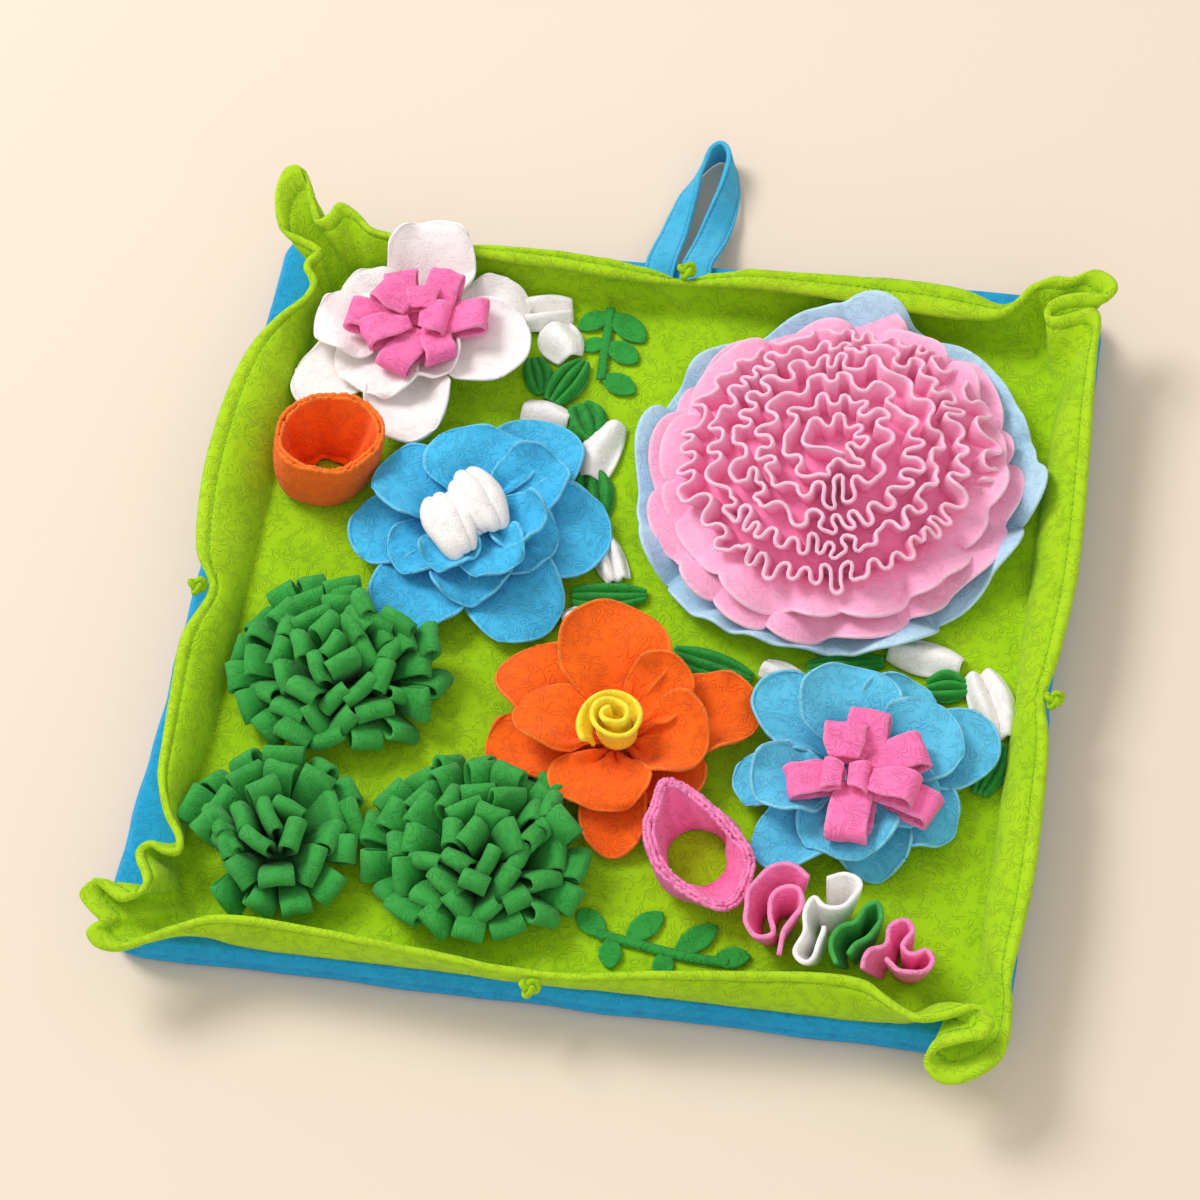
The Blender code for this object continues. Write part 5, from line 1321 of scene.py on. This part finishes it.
def tuft_spots(order, x, y, spread_x, spread_y, clear, rings):
    """Place, turn and build of each strip of a tuft, in a list for each kind of strip."""
    chance = np.random.default_rng(30 + order)
    foot_x, foot_y = TUFT_FOOT * spread_x, TUFT_FOOT * spread_y
    spots = [[] for _ in FOLDED_STRIPS]
    for share, count, tilted in rings:
        for k in range(count):
            heading = 2 * pi * (k + 0.5 * (count % 2)) / count + 0.35 * share
            px, py = x + share * foot_x * cos(heading), y + share * foot_y * sin(heading)
            way = atan2(sin(heading) * spread_x, cos(heading) * spread_y) + 0.08 * sin(5.1 * k)
            lean = clear_lean(px, py, way, tilted, clear)
            if lean <= 0:
                continue
            twist = radians(42.0) * chance.uniform(-1, 1) + radians(16) * sin(2.4 * k + 9 * share)
            tilt = radians(max(lean + chance.uniform(-11, 9), 0))
            turn = (Matrix.Rotation(way, 3, "Z") @ Matrix.Rotation(tilt, 3, "Y")
                    @ Matrix.Rotation(twist, 3, "Z"))
            height = SEAT + 4.0 * (0.9 + 0.5 * (1 - share))
            build = (1.0, chance.uniform(0.88, 1.14), chance.uniform(0.92, 1.16))
            kind = (k + order) % len(spots)
            spots[kind].append(((px, py, height), tuple(turn.to_euler("XYZ")), build))
    return spots


def build_tufts():
    """Folded strips planted in rings on a low backing, leaning out more towards the edge."""
    strips = [folded_strip(*kind) for kind in FOLDED_STRIPS]
    for order, (name, tuft) in enumerate(TUFTS.items()):
        pieces = []
        for kind, spots in enumerate(tuft_spots(order, *tuft)):
            places, turns, builds = (np.array(column) for column in zip(*spots))
            mesh = bpy.data.meshes.new("spots")
            mesh.from_pydata((places * MM).tolist(), [], [])
            for label, column in (("turn", turns), ("build", builds)):
                layer = mesh.attributes.new(label, "FLOAT_VECTOR", "POINT")
                layer.data.foreach_set("vector", column.astype(np.float32).reshape(-1))
            pieces.append(run_tree(f"{name}_strips_{kind}", put("spots", mesh), PLANTED_STRIPS, {
                "Strip": strips[kind], "Size": 1.0, "Finish": FINISH["leaf"]}))
        x, y, *spread = tuft[:4]
        reach_x, reach_y = (0.9 * TUFT_FOOT * size for size in spread)
        # the backing under the strips gets painted shade
        backing = lump((x, y, SEAT + 2.2), (reach_x, reach_y, 2.2), order, 0.0, 40, 8, painted_light=0.0,
                       fullness=3.5)
        pieces.append(make_mesh("backing", backing, "leaf"))
        cloth(joined(f"{name}_strips", pieces), name, 16)
    for strip in strips:
        bpy.data.objects.remove(strip, do_unlink=True)


# ---- standing strips, buds, leaves and sprigs ----------------------------------------------------
STRIPS = {
    # name: (colour, height, points)
    "strip_pink": ("pink", 24, (
        (130, -168), (117, -163), (104, -173), (101, -190), (107, -204), (116, -202), (113, -190),
        (116, -178), (126, -176), (128, -186), (122, -200), (121, -213))),
    "strip_white": ("white", 25, (
        (140, -169), (149, -165), (157, -172), (151, -182), (141, -184), (135, -180), (132, -187),
        (133, -200), (130, -211), (137, -216), (141, -206), (142, -196))),
    "strip_green": ("leaf", 24, (
        (151, -215), (148, -204), (151, -194), (158, -190), (161, -181), (167, -179), (170, -187),
        (167, -195), (160, -202), (157, -209))),
    "strip_rosette": ("pink", 22, (
        (165, -215), (167, -205), (174, -200), (176, -190), (183, -186), (187, -192), (183, -200),
        (189, -204), (195, -201), (199, -206), (195, -213), (184, -214), (176, -208))),
}
STRIP_THICK = 2.52
# up a strip: share of its height, painted light (painted shade at the foot, painted highlight at the
# top edge)
STRIP_LEVELS = (0, 0.2, 0.4, 0.58, 0.74, 0.86, 0.95, 1.0)
STRIP_PAINTED_LIGHT = (0.0, 0.12, 0.28, 0.4, 0.5, 0.55, 0.65, 1.0)


def build_strips():
    """Short strips on edge in S-folds, their top edges fuller than their sewn ones."""
    for order, (name, (colour, height, points)) in enumerate(STRIPS.items()):
        path = smooth_rows(points, 9)
        wave = wobble(np.column_stack([path, path[:, 0]]), 18, 70 + order)
        wave = 0.8 * wave[:, None] * sideways(path)
        out = path - path.mean(axis=0)
        shifts = [wave * level ** 2 + (0.04 * level ** 2 - 0.42 * (1 - level) ** 1.3) * out
                  for level in STRIP_LEVELS]
        top = SEAT + height + wobble(np.column_stack([path, path[:, 1]]), 26, 80 + order)
        heights = [SEAT + 0.8 + (top - SEAT - 0.8) * level for level in STRIP_LEVELS]
        part = standing(path, heights, shifts, STRIP_THICK, STRIP_PAINTED_LIGHT)
        strip = make_mesh(f"{name}_cloth", part, colour)
        cloth(strip, name, height)


# columns: x, y, turn, length, width, height
BUDS = (
    (-77, 188, 12, 28, 18, 7), (-62, 168, -60, 20, 18, 7), (-62, 118, -12, 22, 13, 5),
    (-26, 97, 80, 32, 16, 6), (-9, 26, 118, 24, 12, 4), (-21, -12, 30, 14, 9, 4),
    (96, -36, -20, 20, 11, 4), (170, -16, -12, 32, 15, 6), (208, -42, -68, 34, 17, 6),
)
LEAVES = (
    (-72, 144, -70, 18, 10, 4), (-54, 142, 66, 24, 12, 6), (-39, 116, -60, 18, 14, 5),
    (-26, 67, -70, 24, 15, 5), (-6, 3, 8, 30, 12, 4), (57, -35, -14, 34, 12, 4),
    (128, -25, 12, 30, 9, 3), (184, -33, 8, 16, 12, 5), (213, -80, 75, 24, 9, 4),
)


def pleated(x, y, turn, length, width, height, folds, seed, blunt):
    """A small piece of cloth laid in pleats, narrowing at both ends."""
    u, v = np.meshgrid(np.linspace(0, 1, 19), np.linspace(-1, 1, 12 * folds + 1), indexing="ij")
    taper = blunt + (1 - blunt) * np.sin(pi * np.minimum(1.0, u * 0.8 + 0.14)) ** 0.8
    bend = 0.12 * np.random.default_rng(seed).uniform(-1, 1) * np.sin(pi * u)
    ridge = (0.5 - 0.5 * np.cos(2 * pi * folds * (v + 1) / 2 + 0.6 * np.sin(3 * u + seed))) ** 0.8
    ridge = ridge * max(height - 2.6, 1.2) * taper + 0.25 * np.sin(5 * u + 3 * v + seed)
    edge = np.maximum(abs(v), abs(2 * u - 1))
    # painted light: lighter on the ridges, painted shade in the valleys of the pleats, painted
    # highlight at the cut edge
    painted_light = np.clip(0.35 + 0.3 * ridge / max(height - 2, 1) + 0.4 * (edge > 0.97), 0, 1)
    return laid(x, y, turn, (u - 0.5) * length, (v + bend) * width / 2 * taper,
                SEAT + 1.0 + ridge, 1.8, painted_light)


def build_tucked():
    """The buds and leaves tucked in between the flowers."""
    for k, (x, y, turn, length, width, height) in enumerate(BUDS, 1):
        folds = 2 if k in (1, 5, 9) else 1
        part = pleated(x, y, turn, 1.22 * length, 1.4 * width, height + 4, folds, k, 0.42)
        bud = make_mesh(f"bud_{k}_cloth", part, "white")
        cloth(bud, f"bud_{k}", width)
    for k, (x, y, turn, length, width, height) in enumerate(LEAVES, 1):
        part = pleated(x, y, turn, 1.35 * length, 1.6 * width, height + 2, 3, 20 + k, 0.12)
        leaf = make_mesh(f"leaf_{k}_cloth", part, "leaf")
        cloth(leaf, f"leaf_{k}", max(width, 11))


SPRIGS = {
    # name: (points of the stem, leaves (x, y, turn, length, width))
    "sprig_back": (((-39, 196), (-38, 184), (-37, 163), (-36, 146)), (
        (-39, 192, 216, 20, 13), (-37, 192, -38, 27, 15), (-38, 173, 208, 14, 10),
        (-36, 172, -32, 22, 14), (-35, 149, -26, 22, 14))),
    "sprig_front": (((24, -203), (44, -206), (70, -210), (94, -211)), (
        (27, -203, 140, 20, 13), (31, -205, -80, 17, 12), (40, -204.5, 50, 24, 14),
        (60, -209, -85, 15, 11), (66, -208.5, 44, 26, 14), (86, -210, 14, 19, 12))),
}
# across a stem: place, height above the seat
STEM = ((-2.4, 1.0), (-1.9, 1.5), (-1.2, 1.95), (0.0, 2.1), (1.2, 1.95), (1.9, 1.5), (2.4, 1.0))


def felt_leaf(x, y, turn, length, width, seed):
    """A flat leaf cut from felt, a little domed and creased along its middle."""
    u, v = np.meshgrid(np.linspace(0, 1, 17), np.linspace(-1, 1, 9), indexing="ij")
    half = width / 2 * np.interp(u, (0, 0.06, 0.3, 0.6, 0.86, 1), (0.14, 0.4, 0.9, 1.0, 0.62, 0.1))
    rise = 0.35 * np.sin(pi * u) + 0.25 * abs(v) - 0.2 * np.exp(-(v / 0.15) ** 2)
    rise = np.clip(rise + 0.15 * np.sin(4 * u + seed), 0, 0.7)
    # painted highlight on the leaf's rim
    return laid(x, y, turn, u * length, v * half, SEAT + 0.85 + rise, 1.4,
                np.where(abs(v) > 0.98, 0.75, 0.5))


def build_sprigs():
    """Felt sprigs: flat leaves under a narrow stem that is stitched down along both edges."""
    for name, (stem, leaves) in SPRIGS.items():
        parts = [felt_leaf(*row, k) for k, row in enumerate(leaves)]
        path = smooth_rows(stem, 12)
        dent = 0.12 * np.sin(np.arange(len(path)) * 1.1)
        grid = np.stack([np.column_stack([path + sideways(path) * place, SEAT + height + dent])
                         for place, height in STEM], axis=1)
        parts.append(shell(grid, 1.2, painted_light=0.4))
        sprig = make_mesh(f"{name}_felt", gather(parts), "leaf")
        lines = [grid[1:-1, column] + np.array([0, 0, 0.62]) for column in (1, 5)]
        thread = sew(f"{name}_stitches", lines, "green_thread", 3.2, 2.2, 0.3)
        cloth(sprig, name, 15, extra=[thread])


# ---- studio --------------------------------------------------------------------------------------
STUDIO_HALF = 3.0             # metres
LIGHTS = {
    # name: (place, size, power), in metres and watts
    "key_light": ((-2.1, 1.25, 2.7), 1.5, 88.0),
    "front_fill": ((1.0, -1.9, 1.6), 2.2, 12.0),
}


def build_studio():
    """A pale floor under a soft even sky, a key light from the back left and a weak front fill."""
    corners = [(x * STUDIO_HALF, y * STUDIO_HALF, 0) for x, y in ((-1, -1), (1, -1), (1, 1), (-1, 1))]
    floor = bpy.data.meshes.new("studio_floor")
    floor.from_pydata(corners, [], [(0, 1, 2, 3)])
    floor.materials.append(pale_floor())
    put("studio_floor", floor)
    for name, (spot, size, power) in LIGHTS.items():
        light = bpy.data.lights.new(name, "AREA")
        light.size, light.energy = size, power
        lamp = put(name, light)
        lamp.location = spot
        lamp.rotation_euler = (-Vector(spot)).to_track_quat("-Z", "Y").to_euler()
    world = bpy.data.worlds.new("studio")
    world.use_nodes = True
    sky = world.node_tree.nodes["Background"]
    sky.inputs["Color"].default_value = (1.0, 0.975, 0.95, 1.0)
    sky.inputs["Strength"].default_value = 0.62
    bpy.context.scene.world = world
    bpy.context.scene.view_settings.view_transform = "Standard"


def build_camera():
    """At the photograph's angle: turned a little to the right, from high in front, slightly rolled."""
    azimuth, elevation, roll = radians(17.4), radians(56.7), radians(-8.8)
    back = Vector((sin(azimuth) * cos(elevation), -cos(azimuth) * cos(elevation), sin(elevation)))
    right = (-back).cross(Vector((0, 0, 1))).normalized()
    up = right.cross(-back)
    level = Matrix((cos(roll) * right + sin(roll) * up, -sin(roll) * right + cos(roll) * up, back))
    pose = level.transposed().to_4x4()
    pose.translation = Vector((-0.0153, 0.015, 0.0)) + 2.271 * back
    data = bpy.data.cameras.new("camera")
    data.sensor_width = 36.0
    data.lens = 123.51
    data.clip_start = 0.01
    camera = put("camera", data)
    camera.matrix_world = pose
    bpy.context.scene.camera = camera


for build in (build_camera, build_studio, build_pad, build_top_sheet, build_knots, build_strap,
              build_flowers, build_loops, build_white_core, build_rosette, build_cup, build_ring,
              build_carnation_base, build_carnation_ruffle, build_tufts, build_strips, build_tucked,
              build_sprigs):
    build()

bpy.context.view_layer.update()
